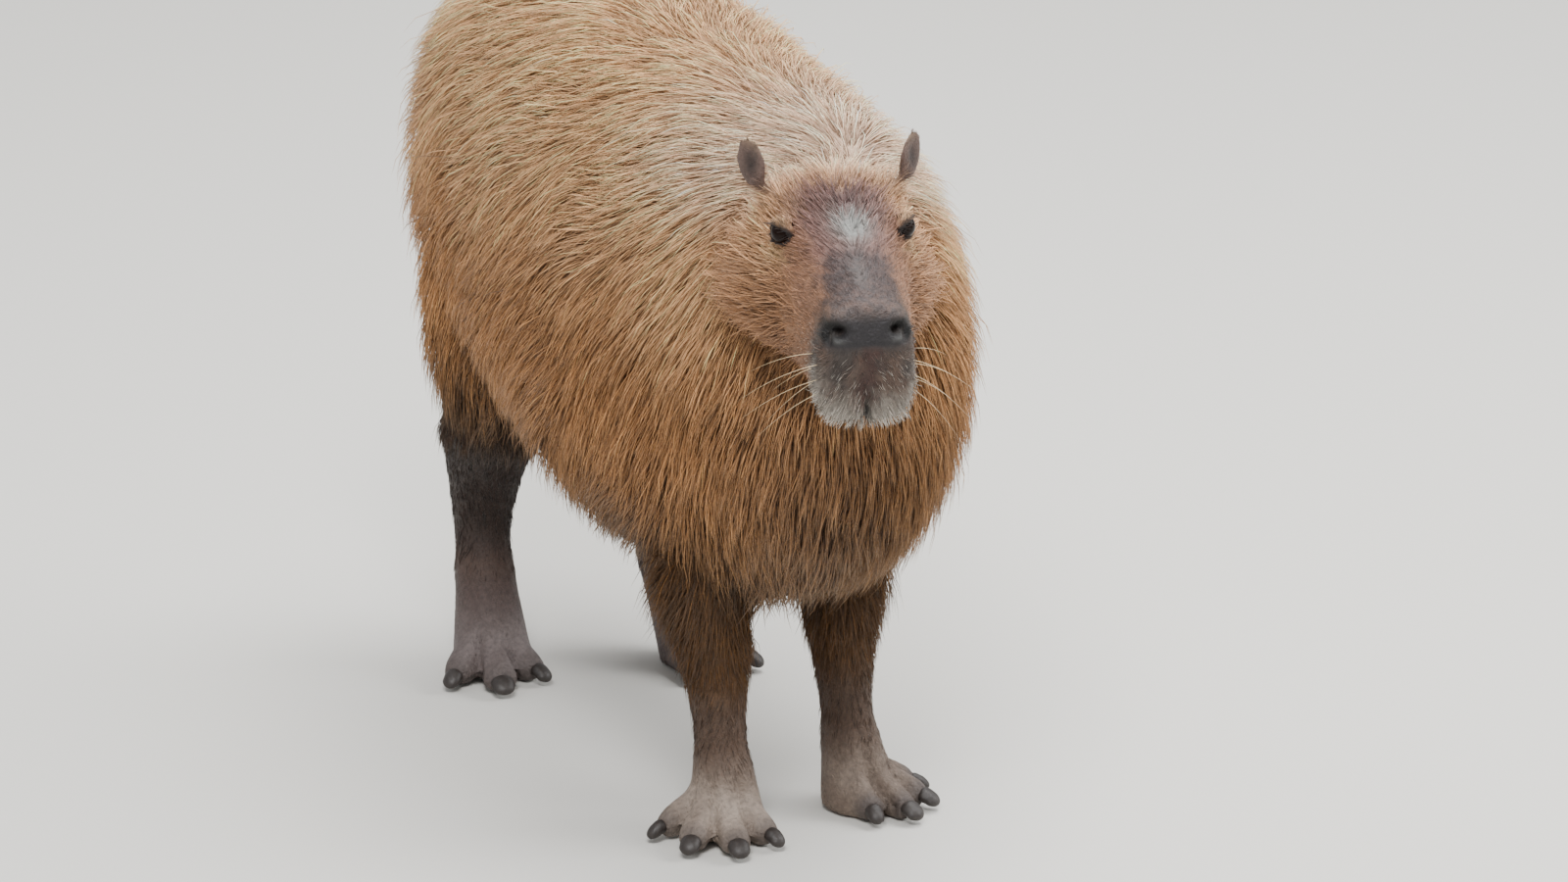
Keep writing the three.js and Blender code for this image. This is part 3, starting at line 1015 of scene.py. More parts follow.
    def part_toes(self, mesh: bpy.types.Mesh) -> None:
        """Presses a cleft into the skin between each two neighbouring toes.

        Args:
            mesh: The skin.
        """
        points, out = positions(mesh), normals(mesh)
        feet = sorted({name.split("_toe_")[0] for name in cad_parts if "_toe_" in name})
        for foot in feet:
            far, along = [], []
            for name in sorted(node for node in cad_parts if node.startswith(foot + "_toe_")):
                toe = np.array(sum(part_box(name), Vector())) / 2
                claw = np.array(sum(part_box(name.replace("_toe_", "_claw_")), Vector())) / 2
                way = (claw - toe)[:2]
                way /= np.linalg.norm(way)
                start = toe[:2] - way * self.toe_back
                reach = (points[:, :2] - start) @ way
                span = float((claw[:2] - start) @ way)
                nearest = start + np.clip(reach, 0, span)[:, None] * way
                far.append(np.linalg.norm(points[:, :2] - nearest, axis=1))
                along.append(reach / span)
            order = np.argsort(np.array(far), axis=0)
            near, second = (np.take_along_axis(np.array(far), order[k : k + 1], axis=0)[0] for k in (0, 1))
            share = np.take_along_axis(np.array(along), order[:1], axis=0)[0]
            cleft = np.exp(-(((second - near) / self.cleft_width) ** 2))
            cleft *= ramp(share, 0.12, 0.75) * (near < 0.05)
            cleft *= ramp(-points[:, 2], -0.075, -0.050)
            points -= out * (cleft * self.cleft_depth)[:, None]
        move_to(mesh, points)
        ring = Neighbours(mesh)
        low = (points[:, 2] < 0.08) * 2.0
        points = relaxed(mesh, low, ring)
        points[:, 2] = np.maximum(points[:, 2], 0.0)
        move_to(mesh, points)

    def thin_body(self, made: bpy.types.Object, depth: np.ndarray) -> None:
        """Uses fewer faces under the long coat, where none of them shows.

        Args:
            made: The skin.
            depth: How far each of its points lies inside the outline.
        """
        group = made.vertex_groups.new(name="hidden")
        hidden = np.nonzero(depth > self.hidden_depth)[0]
        group.add(hidden.tolist(), 1.0, "REPLACE")
        decimate = made.modifiers.new("fewer", "DECIMATE")
        decimate.vertex_group = "hidden"
        decimate.ratio = self.hidden_share
        self.apply(made)
        made.vertex_groups.clear()

    @staticmethod
    def refine_face(mesh: bpy.types.Mesh, head: HeadFrame) -> None:
        """Divides the skin finely over the face, and again round the eyes and nostrils.

        Args:
            mesh: The skin.
            head: The head's frame.
        """
        shell = bmesh.new()
        shell.from_mesh(mesh)
        for finer in (False, True):
            local = head.inside(np.array([vertex.co for vertex in shell.verts]))
            along, high = local[:, 1], local[:, 2]
            if finer:
                chosen = (along < -0.105) & (high > -0.040)
                for side in (-1, 1):
                    eye = np.array([side * head.eye_out, 0, 0])
                    chosen |= np.linalg.norm(local - eye, axis=1) < 0.019
            else:
                chosen = (along < 0.035) & (along > -0.2) & (np.abs(local[:, 0]) < 0.085) & (high > -0.125)
                chosen &= (along < -0.02) | (high > -0.07)
            picked = set(np.nonzero(chosen)[0].tolist())
            shell.verts.index_update()
            edges = [edge for edge in shell.edges if all(vertex.index in picked for vertex in edge.verts)]
            bmesh.ops.subdivide_edges(shell, edges=edges, cuts=1, use_grid_fill=True, smooth=0.0)
            bmesh.ops.triangulate(shell, faces=[face for face in shell.faces if len(face.verts) > 4])
        shell.to_mesh(mesh)
        shell.free()

    def sculpt(self, mesh: bpy.types.Mesh, head: HeadFrame) -> None:
        """Shapes the brow, nostrils, lips, ears and lids.

        Args:
            mesh: The skin.
            head: The head's frame.
        """
        local = head.inside(positions(mesh))
        out = normals(mesh) @ head.axes.T
        for side in (-1, 1):
            for dent in PAIRED_DENTS:
                local = dent.pressed(local, out, side)
            opening = out @ (np.array(EAR_FACING) * (side, 1, 1)) > 0.25
            hollow = spot(local, (side * 0.0655, 0.0665, 0.026), (0.0090, 0.0100, 0.0150)) * opening
            local = local - out * (hollow * self.hollow_depth)[:, None]
        for dent in MIDDLE_DENTS:
            local = dent.pressed(local, out, 1)
        line = local[:, 2] - self.markings.mouth_height - self.markings.mouth_curve * local[:, 0] ** 2
        mouth = ramp(-local[:, 1], 0.080, 0.100) * np.exp(-((line / 0.0028) ** 2))
        local = local - out * (mouth * self.mouth_depth)[:, None]
        for side in (-1, 1):
            local = self.lidded(local, side, head)
        move_to(mesh, head.outside(local))

    def lidded(self, local: np.ndarray, side: int, head: HeadFrame) -> np.ndarray:
        """Lays the skin over one eye as lids, and opens it in front.

        Args:
            local: The skin's places in the head's frame.
            side: -1 for the right eye and 1 for the left.
            head: The head's frame.

        Returns:
            The places with the lids.
        """
        eye = self.eye
        centre = np.array([side * head.eye_out, 0.0, 0.0])
        seen = (local - centre) @ eye.axes(side).T
        far = np.linalg.norm(seen, axis=1)
        on_lid = unit(seen) * (eye.radius + eye.lid)
        high = eye.half_high * np.where(on_lid[:, 2] > 0, self.upper_lid, 1.0)
        oval = np.sqrt((on_lid[:, 1] / eye.half_long) ** 2 + (on_lid[:, 2] / high) ** 2)
        shut = ramp(oval, 0.92, 1.08)
        hood = eye.lid * (1.0 + 0.7 * ramp(seen[:, 2], -0.001, 0.004))
        covered = np.maximum(far, eye.radius + hood)
        ball = (eye.radius - eye.inset) * (1 - shut) + covered * shut
        share = ramp(on_lid[:, 0], -0.004, 0.002) * ramp(far, *self.lid_reach)
        wanted = centre + unit(local - centre) * ball[:, None]
        return local + (wanted - local) * share[:, None]

    def dress(self, made: bpy.types.Object, head: HeadFrame) -> None:
        """Gives the skin its tint, its unwrap and its material.

        Args:
            made: The skin.
            head: The head's frame.
        """
        mesh = made.data
        ring = Neighbours(mesh)
        self.weights = self.weigh(positions(mesh), ring, 16)
        self.colours = self.markings.colour(positions(mesh), self.weights, head)
        under = 1.0 - 0.45 * self.weights[:, LONG_COAT].sum(axis=1)
        under -= 0.35 * self.weights[:, Region.MUZZLE.value] + 0.22 * self.weights[:, Region.FACE.value]
        keep_tint(mesh, self.colours * under[:, None])
        mesh.polygons.foreach_set("use_smooth", np.ones(len(mesh.polygons), bool))
        bpy.context.view_layer.objects.active = made
        made.select_set(True)
        mesh.uv_layers.new(name="OFBake")
        bpy.ops.object.mode_set(mode="EDIT")
        bpy.ops.mesh.select_all(action="SELECT")
        bpy.ops.uv.smart_project(angle_limit=math.radians(66), island_margin=0.002)
        bpy.ops.object.mode_set(mode="OBJECT")
        made.select_set(False)
        mesh.materials.clear()
        mesh.materials.append(SkinFinish().material())


@dataclass
class Roots:
    """Where the tufts of one coat piece grow."""

    at: np.ndarray
    normal: np.ndarray
    uv: np.ndarray
    weights: np.ndarray
    colour: np.ndarray

    def some(self, chosen: np.ndarray) -> "Roots":
        """Only the chosen roots."""
        kept = (self.at, self.normal, self.uv, self.weights, self.colour)
        return Roots(*(values[chosen] for values in kept))


class Hairs:
    """Turns arrays of root, path, width and colour into one mesh of thin closed tufts."""

    corners = 3
    patch = 0.0015
    flatness = 0.62

    @classmethod
    def mesh(cls, name: str, paths: np.ndarray, width: np.ndarray, colours: np.ndarray, uv: np.ndarray,
             flat: np.ndarray) -> bpy.types.Mesh:
        """Builds the tufts.

        Args:
            name: The mesh's name.
            paths: For each tuft, the points along it from root to tip.
            width: For each tuft, its width at the root.
            colours: For each tuft, the colour at each point along it.
            uv: For each tuft, its root's place on the skin's unwrap.
            flat: For each tuft, the direction it is thin in.

        Returns:
            The mesh, with its tint and its OFBake map.
        """
        count, points = paths.shape[:2]
        rings = points - 1
        per = rings * cls.corners + 1
        heading = np.gradient(paths, axis=1)
        heading /= np.maximum(np.linalg.norm(heading, axis=2, keepdims=True), 1e-9)
        across = np.cross(heading, flat[:, None, :])
        across /= np.maximum(np.linalg.norm(across, axis=2, keepdims=True), 1e-9)
        thin = np.cross(across, heading)
        spread = (1.0 - (np.arange(rings) / points) ** 1.5)[None, :, None]
        half = width[:, None, None] * 0.5 * spread
        verts = np.empty((count, per, 3))
        tint = np.empty((count, per, 3))
        place = np.empty((count, per, 2))
        for corner in range(cls.corners):
            turn = 2 * math.pi * corner / cls.corners + math.pi / 2
            ring = slice(corner, rings * cls.corners, cls.corners)
            reach = across[:, :rings] * math.cos(turn) + thin[:, :rings] * (cls.flatness * math.sin(turn))
            verts[:, ring] = paths[:, :rings] + reach * half
            tint[:, ring] = colours[:, :rings]
            shrink = (1.0 - np.arange(rings) / rings) * cls.patch
            offset = np.stack([shrink * math.cos(turn), shrink * math.sin(turn)], axis=1)
            place[:, ring] = uv[:, None, :] + offset[None]
        verts[:, -1] = paths[:, -1]
        tint[:, -1] = colours[:, -1]
        place[:, -1] = uv
        faces = [(2, 1, 0)]
        for ring in range(rings - 1):
            for corner in range(cls.corners):
                a = ring * cls.corners + corner
                b = ring * cls.corners + (corner + 1) % cls.corners
                faces += [(a, b, b + cls.corners), (a, b + cls.corners, a + cls.corners)]
        last = (rings - 1) * cls.corners
        faces += [(last + c, last + (c + 1) % cls.corners, per - 1) for c in range(cls.corners)]
        pattern = np.array(faces)
        corners = (pattern[None] + (np.arange(count) * per)[:, None, None]).reshape(-1)
        mesh = bpy.data.meshes.new(name)
        mesh.vertices.add(count * per)
        mesh.vertices.foreach_set("co", verts.astype(np.float32).ravel())
        mesh.loops.add(len(corners))
        mesh.loops.foreach_set("vertex_index", corners.astype(np.int32))
        total = count * len(faces)
        mesh.polygons.add(total)
        mesh.polygons.foreach_set("loop_start", (np.arange(total) * 3).astype(np.int32))
        mesh.polygons.foreach_set("use_smooth", np.ones(total, bool))
        mesh.update(calc_edges=True)
        keep_tint(mesh, tint.reshape(-1, 3))
        layer = mesh.uv_layers.new(name="OFBake")
        layer.data.foreach_set("uv", place.reshape(-1, 2)[corners].astype(np.float32).ravel())
        return mesh


@dataclass
class Coat:
    """The coat: tufts that follow its lie, gathered into wisps."""

    skin: bpy.types.Object
    head: HeadFrame
    weights: np.ndarray
    colours: np.ndarray
    seed: int = 11
    frost: tuple = Markings.frost
    sun_tip: tuple = (226, 190, 146)
    eye_front: float = 0.008
    strays: float = 0.07
    stray_length: float = 1.12
    stray_rise: float = 1.5
    length_spread: tuple = (0.62, 1.22)
    rise_spread: tuple = (0.55, 1.5)
    least_and_most_lift: tuple = (0.05, 0.9)
    root_depth: float = 0.0008
    root_lift: float = 1.25
    lift_lost: float = 1.1
    heavy_length: float = 0.06
    sag: float = 0.20
    sideways: float = 0.19
    wander: float = 0.26
    face_wander: float = 0.12
    wander_size: float = 0.10
    in_wisp: int = 10
    wisp_pull: float = 0.62
    wisp_reach: float = 0.06
    shade_spread: float = 0.21
    dark_share: float = 0.10
    pale_share: float = 0.14
    most_faces: int = 196000
    floor_gap: float = 0.0008

    def roots(self) -> Roots:
        """Scatters roots over the skin, as dense as each region's coat.

        Returns:
            The roots.
        """
        mesh = self.skin.data
        mesh.calc_loop_triangles()
        count = len(mesh.loop_triangles)
        corners = np.empty(count * 3, np.int32)
        mesh.loop_triangles.foreach_get("vertices", corners)
        loops = np.empty(count * 3, np.int32)
        mesh.loop_triangles.foreach_get("loops", loops)
        corners, loops = corners.reshape(-1, 3), loops.reshape(-1, 3)
        uv = np.empty(len(mesh.loops) * 2, np.float32)
        mesh.uv_layers["OFBake"].data.foreach_get("uv", uv)
        uv = uv.reshape(-1, 2)
        points, out = positions(mesh), normals(mesh)
        a, b, c = (points[corners[:, k]] for k in range(3))
        area = np.linalg.norm(np.cross(b - a, c - a), axis=1) / 2
        density = worn(self.weights, "per_m2")
        density = density * (1.0 + 1.8 * (1.0 - ramp(self.from_eye(points), 0.014, 0.024)))
        wanted = area * density[corners].mean(axis=1)
        rng = np.random.default_rng(self.seed)
        total = int(wanted.sum())
        chosen = rng.choice(count, size=total, p=wanted / wanted.sum())
        mix = rng.dirichlet((1.0, 1.0, 1.0), total)

        def blend(values: np.ndarray) -> np.ndarray:
            """A value kept on the vertices, read at the roots."""
            return (values[corners[chosen]] * mix[:, :, None]).sum(axis=1)

        spots = (uv[loops[chosen]] * mix[:, :, None]).sum(axis=1)
        return Roots(blend(points), unit(blend(out)), spots, blend(self.weights), blend(self.colours))

    def from_eye(self, points: np.ndarray) -> np.ndarray:
        """How far each point is from the front of the nearer eye.

        Args:
            points: Places on the skin.

        Returns:
            One distance for each point.
        """
        local = self.head.inside(points)
        eyes = [np.array([side * (self.head.eye_out + self.eye_front), 0, 0]) for side in (-1, 1)]
        return np.minimum(*(np.linalg.norm(local - eye, axis=1) for eye in eyes))

    def lie(self, roots: Roots) -> np.ndarray:
        """The way the coat lies at each root, flat on the skin.

        Args:
            roots: The roots.

        Returns:
            One direction for each root.
        """
        at = roots.at
        on_head = on_head_share(roots.weights)[:, None]
        flow = self.body_lie(roots) * (1 - on_head) + self.head.turn_out(self.face_lie(roots)) * on_head
        wander = np.stack([clouds(at, self.wander_size, 21 + k) for k in range(3)], axis=1)
        flow = flow + wander * (self.wander - (self.wander - self.face_wander) * on_head)
        flow -= roots.normal * (flow * roots.normal).sum(axis=1, keepdims=True)
        return unit(flow)

    @staticmethod
    def body_lie(roots: Roots) -> np.ndarray:
        """The lie on trunk and legs: backwards and down, steeper on the chest and straight down the legs.

        Args:
            roots: The roots.

        Returns:
            One direction for each root.
        """
        at = roots.at
        side = np.tanh(at[:, 0] / 0.08)
        flow = np.tile(np.array([0.0, 0.80, 0.0]), (len(at), 1))
        down = ramp(at[:, 2], 0.62, 0.36)
        flow[:, 2] -= 0.35 + 0.75 * down
        flow[:, 0] += side * 0.55 * ramp(at[:, 2], 0.52, 0.62)
        chest = ramp(at[:, 1], -0.08, -0.26)
        flow[:, 1] -= 0.45 * chest * down
        flow[:, 2] -= 0.6 * chest
        legs = roots.weights[:, [Region.THIGH.value, Region.LEG.value]].sum(axis=1)[:, None]
        flow = flow * (1 - legs) + np.array([0.0, 0.15, -1.0]) * legs
        paws = roots.weights[:, [Region.PAW.value, Region.TOE.value]].sum(axis=1)[:, None]
        return flow * (1 - paws) + np.array([0.0, -0.8, -0.8]) * paws

    def face_lie(self, roots: Roots) -> np.ndarray:
        """The lie on the head: back over brow and cheeks, down in front and up the ears.

        Args:
            roots: The roots.

        Returns:
            One direction for each root, in the head's frame.
        """
        local = self.head.inside(roots.at)
        side, fore, low = np.sign(local[:, 0]), -local[:, 1], -local[:, 2]
        face = np.zeros_like(local)
        face[:, 1] = 1.0
        face[:, 0] = side * (0.25 + 0.6 * ramp(low, 0.01, 0.05))
        face[:, 2] = -0.9 * ramp(low, 0.03, 0.085) * ramp(fore, -0.02, 0.06) - 0.2
        front = ramp(fore, 0.128, 0.142)
        face[:, 1] *= 1 - front
        face[:, 2] -= front * 1.2
        face[:, 0] += front * side * 0.3
        ears = roots.weights[:, Region.EAR.value] * ramp(local[:, 2], 0.005, 0.02)
        face[:, 2] += 2.2 * ears
        return face

    def measures(self, roots: Roots, rng: np.random.Generator) -> tuple[np.ndarray, np.ndarray]:
        """How long each tuft is, and how far it stands off the skin.

        Args:
            roots: The roots.
            rng: The source of small differences.

        Returns:
            The lengths and the rises.
        """
        count = len(roots.at)
        length, rise = worn(roots.weights, "length"), worn(roots.weights, "rise")
        local = self.head.inside(roots.at)
        along, low, height = local[:, 1], -local[:, 2], roots.at[:, 2]
        face = roots.weights[:, [Region.FACE.value, Region.MUZZLE.value]].sum(axis=1)
        behind = face * ramp(along, -0.055, 0.055)
        cheek = ramp(np.abs(local[:, 0]), 0.035, 0.065) * ramp(low, 0.005, 0.06)
        lip = face * ramp(low, 0.055, 0.080) * ramp(-along, 0.09, 0.12)
        jowl = face * cheek * ramp(along, -0.10, -0.03)
        length = length + lip * 0.005 + behind * (0.022 + 0.020 * cheek) + jowl * 0.022
        nape = ramp(along, 0.05, 0.08) * ramp(along, 0.16, 0.12) * ramp(height, 0.56, 0.60)
        rise = rise + lip * 0.12 + nape * 0.16 + behind * 0.20
        rise = rise + 0.16 * face * cheek * ramp(along, -0.10, -0.04)
        arm = roots.weights[:, Region.LEG.value] * ramp(-roots.at[:, 1], -0.06, 0.0)
        length = length + arm * ramp(height, 0.10, 0.23) * 0.030
        rise = rise + arm * ramp(height, 0.12, 0.23) * 0.14
        length = length * rng.uniform(*self.length_spread, count)
        stray = rng.uniform(size=count) < self.strays
        length = np.where(stray, length * self.stray_length, length)
        rise = np.where(stray, rise * self.stray_rise, rise)
        beside_eye = 1.0 - ramp(self.from_eye(roots.at), 0.010, 0.028)
        return length * (1.0 - 0.72 * beside_eye), rise + 0.10 * beside_eye

    def paths(self, roots: Roots, points: int, rng: np.random.Generator) -> tuple[np.ndarray, np.ndarray]:
        """Each tuft's line from root to tip, and its length.

        Args:
            roots: The roots.
            points: How many points each line has.
            rng: The source of small differences.

        Returns:
            The lines and the lengths.
        """
        count = len(roots.at)
        lie = self.lie(roots)
        length, rise = self.measures(roots, rng)
        sideways = np.cross(lie, roots.normal)
        heading = unit(lie + sideways * rng.normal(0, self.sideways, count)[:, None])
        lift = np.clip(rise * rng.uniform(*self.rise_spread, count), *self.least_and_most_lift)
        steps = np.linspace(0.0, 1.0, points)
        lines = np.empty((count, points, 3))
        here = roots.at - roots.normal * self.root_depth
        lines[:, 0] = here
        weight = np.clip(length / self.heavy_length, 0, 1)[:, None]
        for index in range(1, points):
            share = steps[index]
            up = np.sin(lift) * (self.root_lift - self.lift_lost * share)
            way = heading * np.cos(lift)[:, None] + roots.normal * up[:, None]
            way = unit(way - UP * self.sag * share * weight)
            here = here + way * (length / (points - 1))[:, None]
            lines[:, index] = here
        return lines, length

    def gather(self, lines: np.ndarray, roots: Roots, rng: np.random.Generator) -> np.ndarray:
        """Draws neighbouring tips together into wisps.

        Args:
            lines: The tufts' lines.
            roots: Their roots.
            rng: The source of small differences.

        Returns:
            The lines, gathered.
        """
        count = len(lines)
        leaders = rng.permutation(count)[: max(count // self.in_wisp, 1)]
        tree = KDTree(len(leaders))
        for order, index in enumerate(leaders):
            tree.insert(Vector(roots.at[index]), order)
        tree.balance()
        nearest = np.array([leaders[tree.find(Vector(point))[1]] for point in roots.at])
        near = np.linalg.norm(roots.at - roots.at[nearest], axis=1)
        pull = np.clip(self.wisp_pull - near / self.wisp_reach, 0.0, self.wisp_pull)
        pull *= rng.uniform(0.2, 1.0, count)
        shares = np.linspace(0.0, 1.0, lines.shape[1]) ** 1.4
        step = lines[nearest] - lines
        return lines + step * (pull[:, None] * shares[None])[:, :, None]

    def shades(self, roots: Roots, points: int, rng: np.random.Generator) -> np.ndarray:
        """The colour along each tuft: darker at the root, partly painted shade deep in the coat, paler at the
        tip, with odd pale and dark ones.

        Args:
            roots: The roots.
            points: How many points each line has.
            rng: The source of small differences.

        Returns:
            For each tuft, the colour at each point along it.
        """
        count = len(roots.at)
        long_coat = roots.weights[:, LONG_COAT].sum(axis=1)
        strength = np.exp(rng.normal(0, self.shade_spread, count))
        kind = rng.uniform(size=count)
        strength = np.where(kind < self.dark_share, strength * 0.55, strength)
        strength = np.where(kind > 1 - self.pale_share, strength * 1.45, strength)
        # Painted shade: each tuft is darker towards its root, deep in the coat, partly the hair's own tone
        root_dark = 0.36 + 0.24 * (1 - long_coat)
        shares = np.linspace(0.0, 1.0, points)
        along = root_dark[:, None] + (1.22 - root_dark)[:, None] * ramp(shares, 0.0, 0.85)[None]
        sunned = 0.18 * long_coat[:, None]
        tip = roots.colour * (1 - sunned) + srgb(*self.sun_tip) * sunned
        local = self.head.inside(roots.at)
        low = ramp(-local[:, 2], 0.020, 0.085) * ramp(-local[:, 1], 0.070, 0.100)
        frosted = roots.weights[:, Region.MUZZLE.value] * low > rng.uniform(0.0, 1.7, count)
        tip = np.where(frosted[:, None], srgb(*self.frost), tip)
        mix = ramp(shares, 0.45, 1.0)[None, :, None]
        colour = roots.colour[:, None, :] * (1 - mix) + tip[:, None, :] * mix
        return np.clip(colour * (along * strength[:, None])[:, :, None], 0.002, 0.9)

    def bare(self, roots: Roots) -> np.ndarray:
        """Where no hair grows: the nose pad, nostrils, eyes, ear hollows and soles.

        Args:
            roots: All the roots.

        Returns:
            True for each root that is left out.
        """
        local = self.head.inside(roots.at)
        facing = roots.normal @ self.head.axes.T
        pad = (np.abs(local[:, 0]) < 0.034) & (np.abs(local[:, 2] + 0.018) < 0.010)
        bare = pad & (local[:, 1] < -0.127)
        for side in (-1, 1):
            seen = (local - np.array([side * self.head.eye_out, 0, 0])) @ Eye().axes(side).T
            oval = np.sqrt((seen[:, 1] / 0.0100) ** 2 + (seen[:, 2] / 0.0062) ** 2)
            bare |= (oval < 1.0) & (seen[:, 0] > 0) & (seen[:, 0] < 0.02)
            bare |= spot(local, (side * 0.0262, -0.132, -0.0155), (0.0095, 0.020, 0.0062)) > 0.4
            inner = facing @ (np.array(EAR_FACING) * (side, 1, 1)) > 0.25
            bare |= inner & (spot(local, (side * 0.0655, 0.0665, 0.026), (0.0095, 0.0100, 0.0150)) > 0.5)
        return bare | (roots.at[:, 2] < 0.004)

    def pieces(self) -> list[bpy.types.Object]:
        """Makes the coat, piece by piece over the body.

        Returns:
            The pieces, each with few enough faces.
        """
        roots = self.roots()
        rng = np.random.default_rng(self.seed + 1)
        roots = roots.some(~self.bare(roots))
        names = self.names(roots)
        material = CoatFinish().material()
        made = []
        for name in sorted(set(names)):
            chosen = np.nonzero(names == name)[0]
            points = 3 if name.startswith("coat_legs") else 4
            parts = math.ceil(len(chosen) * self.faces_each(points) / self.most_faces)
            for part, some in enumerate(np.array_split(chosen, parts)):
                group = roots.some(some)
                lines, length = self.paths(group, points, rng)
                if points > 3:
                    lines = self.gather(lines, group, rng)
                lines[:, :, 2] = np.maximum(lines[:, :, 2], self.floor_gap)
                width = worn(group.weights, "width")
                width = width * rng.uniform(0.7, 1.3, len(some))
                width = width * (0.6 + 0.4 * np.clip(length / 0.02, 0, 1))
                title = name if parts == 1 else f"{name}_{part + 1}"
                shades = self.shades(group, points, rng)
                mesh = Hairs.mesh(title, lines, width, shades, group.uv, group.normal)
                mesh.materials.append(material)
                made.append(mesh_object(title, mesh))
        return made

    @staticmethod
    def faces_each(points: int) -> int:
        """How many triangles a tuft with so many points has."""
        return 1 + (points - 2) * 6 + 3

    @staticmethod
    def names(roots: Roots) -> np.ndarray:
        """The name of the coat piece that each root belongs to.

        Args:
            roots: The roots.

        Returns:
            One name for each root.
        """
        at = roots.at
        main = roots.weights.argmax(axis=1)
        head = np.isin(main, [Region.FACE.value, Region.MUZZLE.value, Region.NOSE.value, Region.EAR.value])
        legs = np.isin(main, [Region.LEG.value, Region.PAW.value, Region.TOE.value])
        names = np.full(len(at), "coat_right_flank", dtype=object)
        names[at[:, 0] > 0] = "coat_left_flank"
        names[at[:, 2] > 0.54] = "coat_back"
        names[at[:, 2] < 0.27] = "coat_belly"
        names[at[:, 1] > 0.32] = "coat_rump"
        names[(main == Region.NECK.value)] = "coat_neck"
        names[legs] = "coat_legs"
        names[head] = "coat_head"
        return names


@dataclass
class Whiskers:
    """Stiff pale bristles on the muzzle, and dark lashes at the eyes' outer corners."""

    head: HeadFrame
    skin: bpy.types.Object
    seed: int = 4
    points: int = 10
    pale: tuple = (222, 198, 158)
    dark: tuple = (30, 22, 20)
    rows: int = 3
    in_row: int = 2
    lashes: int = 7
    first: tuple = (0.043, -0.128, -0.048)
    row_gap: float = 0.014
    gap: float = 0.018
    longest: tuple = (0.036, 0.070)
    lash_first: tuple = (0.058, 0.002, 0.0065)
    lash_gap: float = 0.0024
    lash_longest: tuple = (0.008, 0.013)
    width: float = 0.00075
    droop: float = 0.45
    spread: float = 0.12

    def places(self, rng: np.random.Generator) -> tuple[np.ndarray, np.ndarray, np.ndarray]:
        """Where the bristles and then the lashes stand, in the head's frame.

        Args:
            rng: The source of small differences.

        Returns:
            Their starts, directions and lengths.
        """
        starts, ways, lengths = [], [], []
        x, y, z = self.first
        for side in (-1, 1):
            for row in range(self.rows):
                for step in range(self.in_row):
                    starts.append((side * x, y + self.gap * step, z - self.row_gap * row))
                    ways.append((side * 1.0, 0.10 + 0.20 * step, -0.25 - 0.22 * row + 0.10 * step))
                    lengths.append(rng.uniform(*self.longest))
        x, y, z = self.lash_first
        for side in (-1, 1):
            for step in range(self.lashes):
                starts.append((side * x, y + self.lash_gap * step, z - 0.0004 * step))
                ways.append((side * 1.0, 0.05 + 0.14 * step, 0.20))
                lengths.append(rng.uniform(*self.lash_longest))
        return np.array(starts), unit(np.array(ways)), np.array(lengths)

    def build(self) -> bpy.types.Object:
        """Makes the whiskers and lashes as one piece.

        Returns:
            The piece.
        """
        rng = np.random.default_rng(self.seed)
        starts, ways, lengths = self.places(rng)
        bristles = 2 * self.rows * self.in_row
        ways = unit(ways + rng.normal(0, self.spread, ways.shape))
        roots = self.head.outside(starts)
        ways = self.head.turn_out(ways)
        mesh = self.skin.data
        tree = BVHTree.FromPolygons(
            [vertex.co.copy() for vertex in mesh.vertices], [list(face.vertices) for face in mesh.polygons]
        )
        roots = np.array([tree.find_nearest(Vector(root))[0] for root in roots]) - ways * 0.002
        shares = np.linspace(0, 1, self.points)
        droop = (shares ** 2)[None, :, None] * lengths[:, None, None] * self.droop
        back = self.head.turn_out(np.array([[0.0, 0.45, 0.0]]))
        lines = roots[:, None] + ways[:, None] * (shares[None, :, None] * lengths[:, None, None])
        lines = lines + droop * (back - UP)[:, None, :] * 0.85
        colours = np.repeat(np.repeat(srgb(*self.pale)[None, None], len(roots), 0), self.points, 1)
        colours[bristles:] = srgb(*self.dark)
        flat = np.tile(UP, (len(roots), 1))
        uv = np.stack([np.linspace(0.05, 0.95, len(roots)), np.full(len(roots), 0.5)], axis=1)
        made = Hairs.mesh("whiskers", lines, np.full(len(roots), self.width), colours, uv, flat)
        made.materials.append(CoatFinish(roughness=0.4).material())
        return mesh_object("whiskers", made)


@dataclass
class Eyeballs:
    """The two eyes, each a ball with a raised clear front."""

    head: HeadFrame
    eye: Eye = field(default_factory=Eye)

    def build(self, side: int) -> bpy.types.Object:
        """Makes one eye.

        Args:
            side: -1 for the right eye and 1 for the left.

        Returns:
            The eye.
        """
        ball = bmesh.new()
        bmesh.ops.create_uvsphere(ball, u_segments=40, v_segments=26, radius=self.eye.radius)
        look = Vector(self.eye.axes(side)[0])
        for vertex in ball.verts:
            ahead = vertex.co.normalized().dot(look)
            vertex.co *= 1.0 + 0.055 * max(0.0, (ahead - 0.62) / 0.38) ** 0.7
        place = Matrix(self.head.axes.T.tolist()).to_4x4()
        centre = self.head.outside(np.array([[side * self.head.eye_out, 0.0, 0.0]]))[0]
        bmesh.ops.transform(ball, matrix=Matrix.Translation(Vector(centre)) @ place, verts=ball.verts)
        name = "eye_ball_left" if side > 0 else "eye_ball_right"
        mesh = bpy.data.meshes.new(name)
        for face in ball.faces:
            face.smooth = True
        ball.to_mesh(mesh)
        ball.free()
        mesh.materials.append(EyeFinish().material())
        return mesh_object(name, mesh)


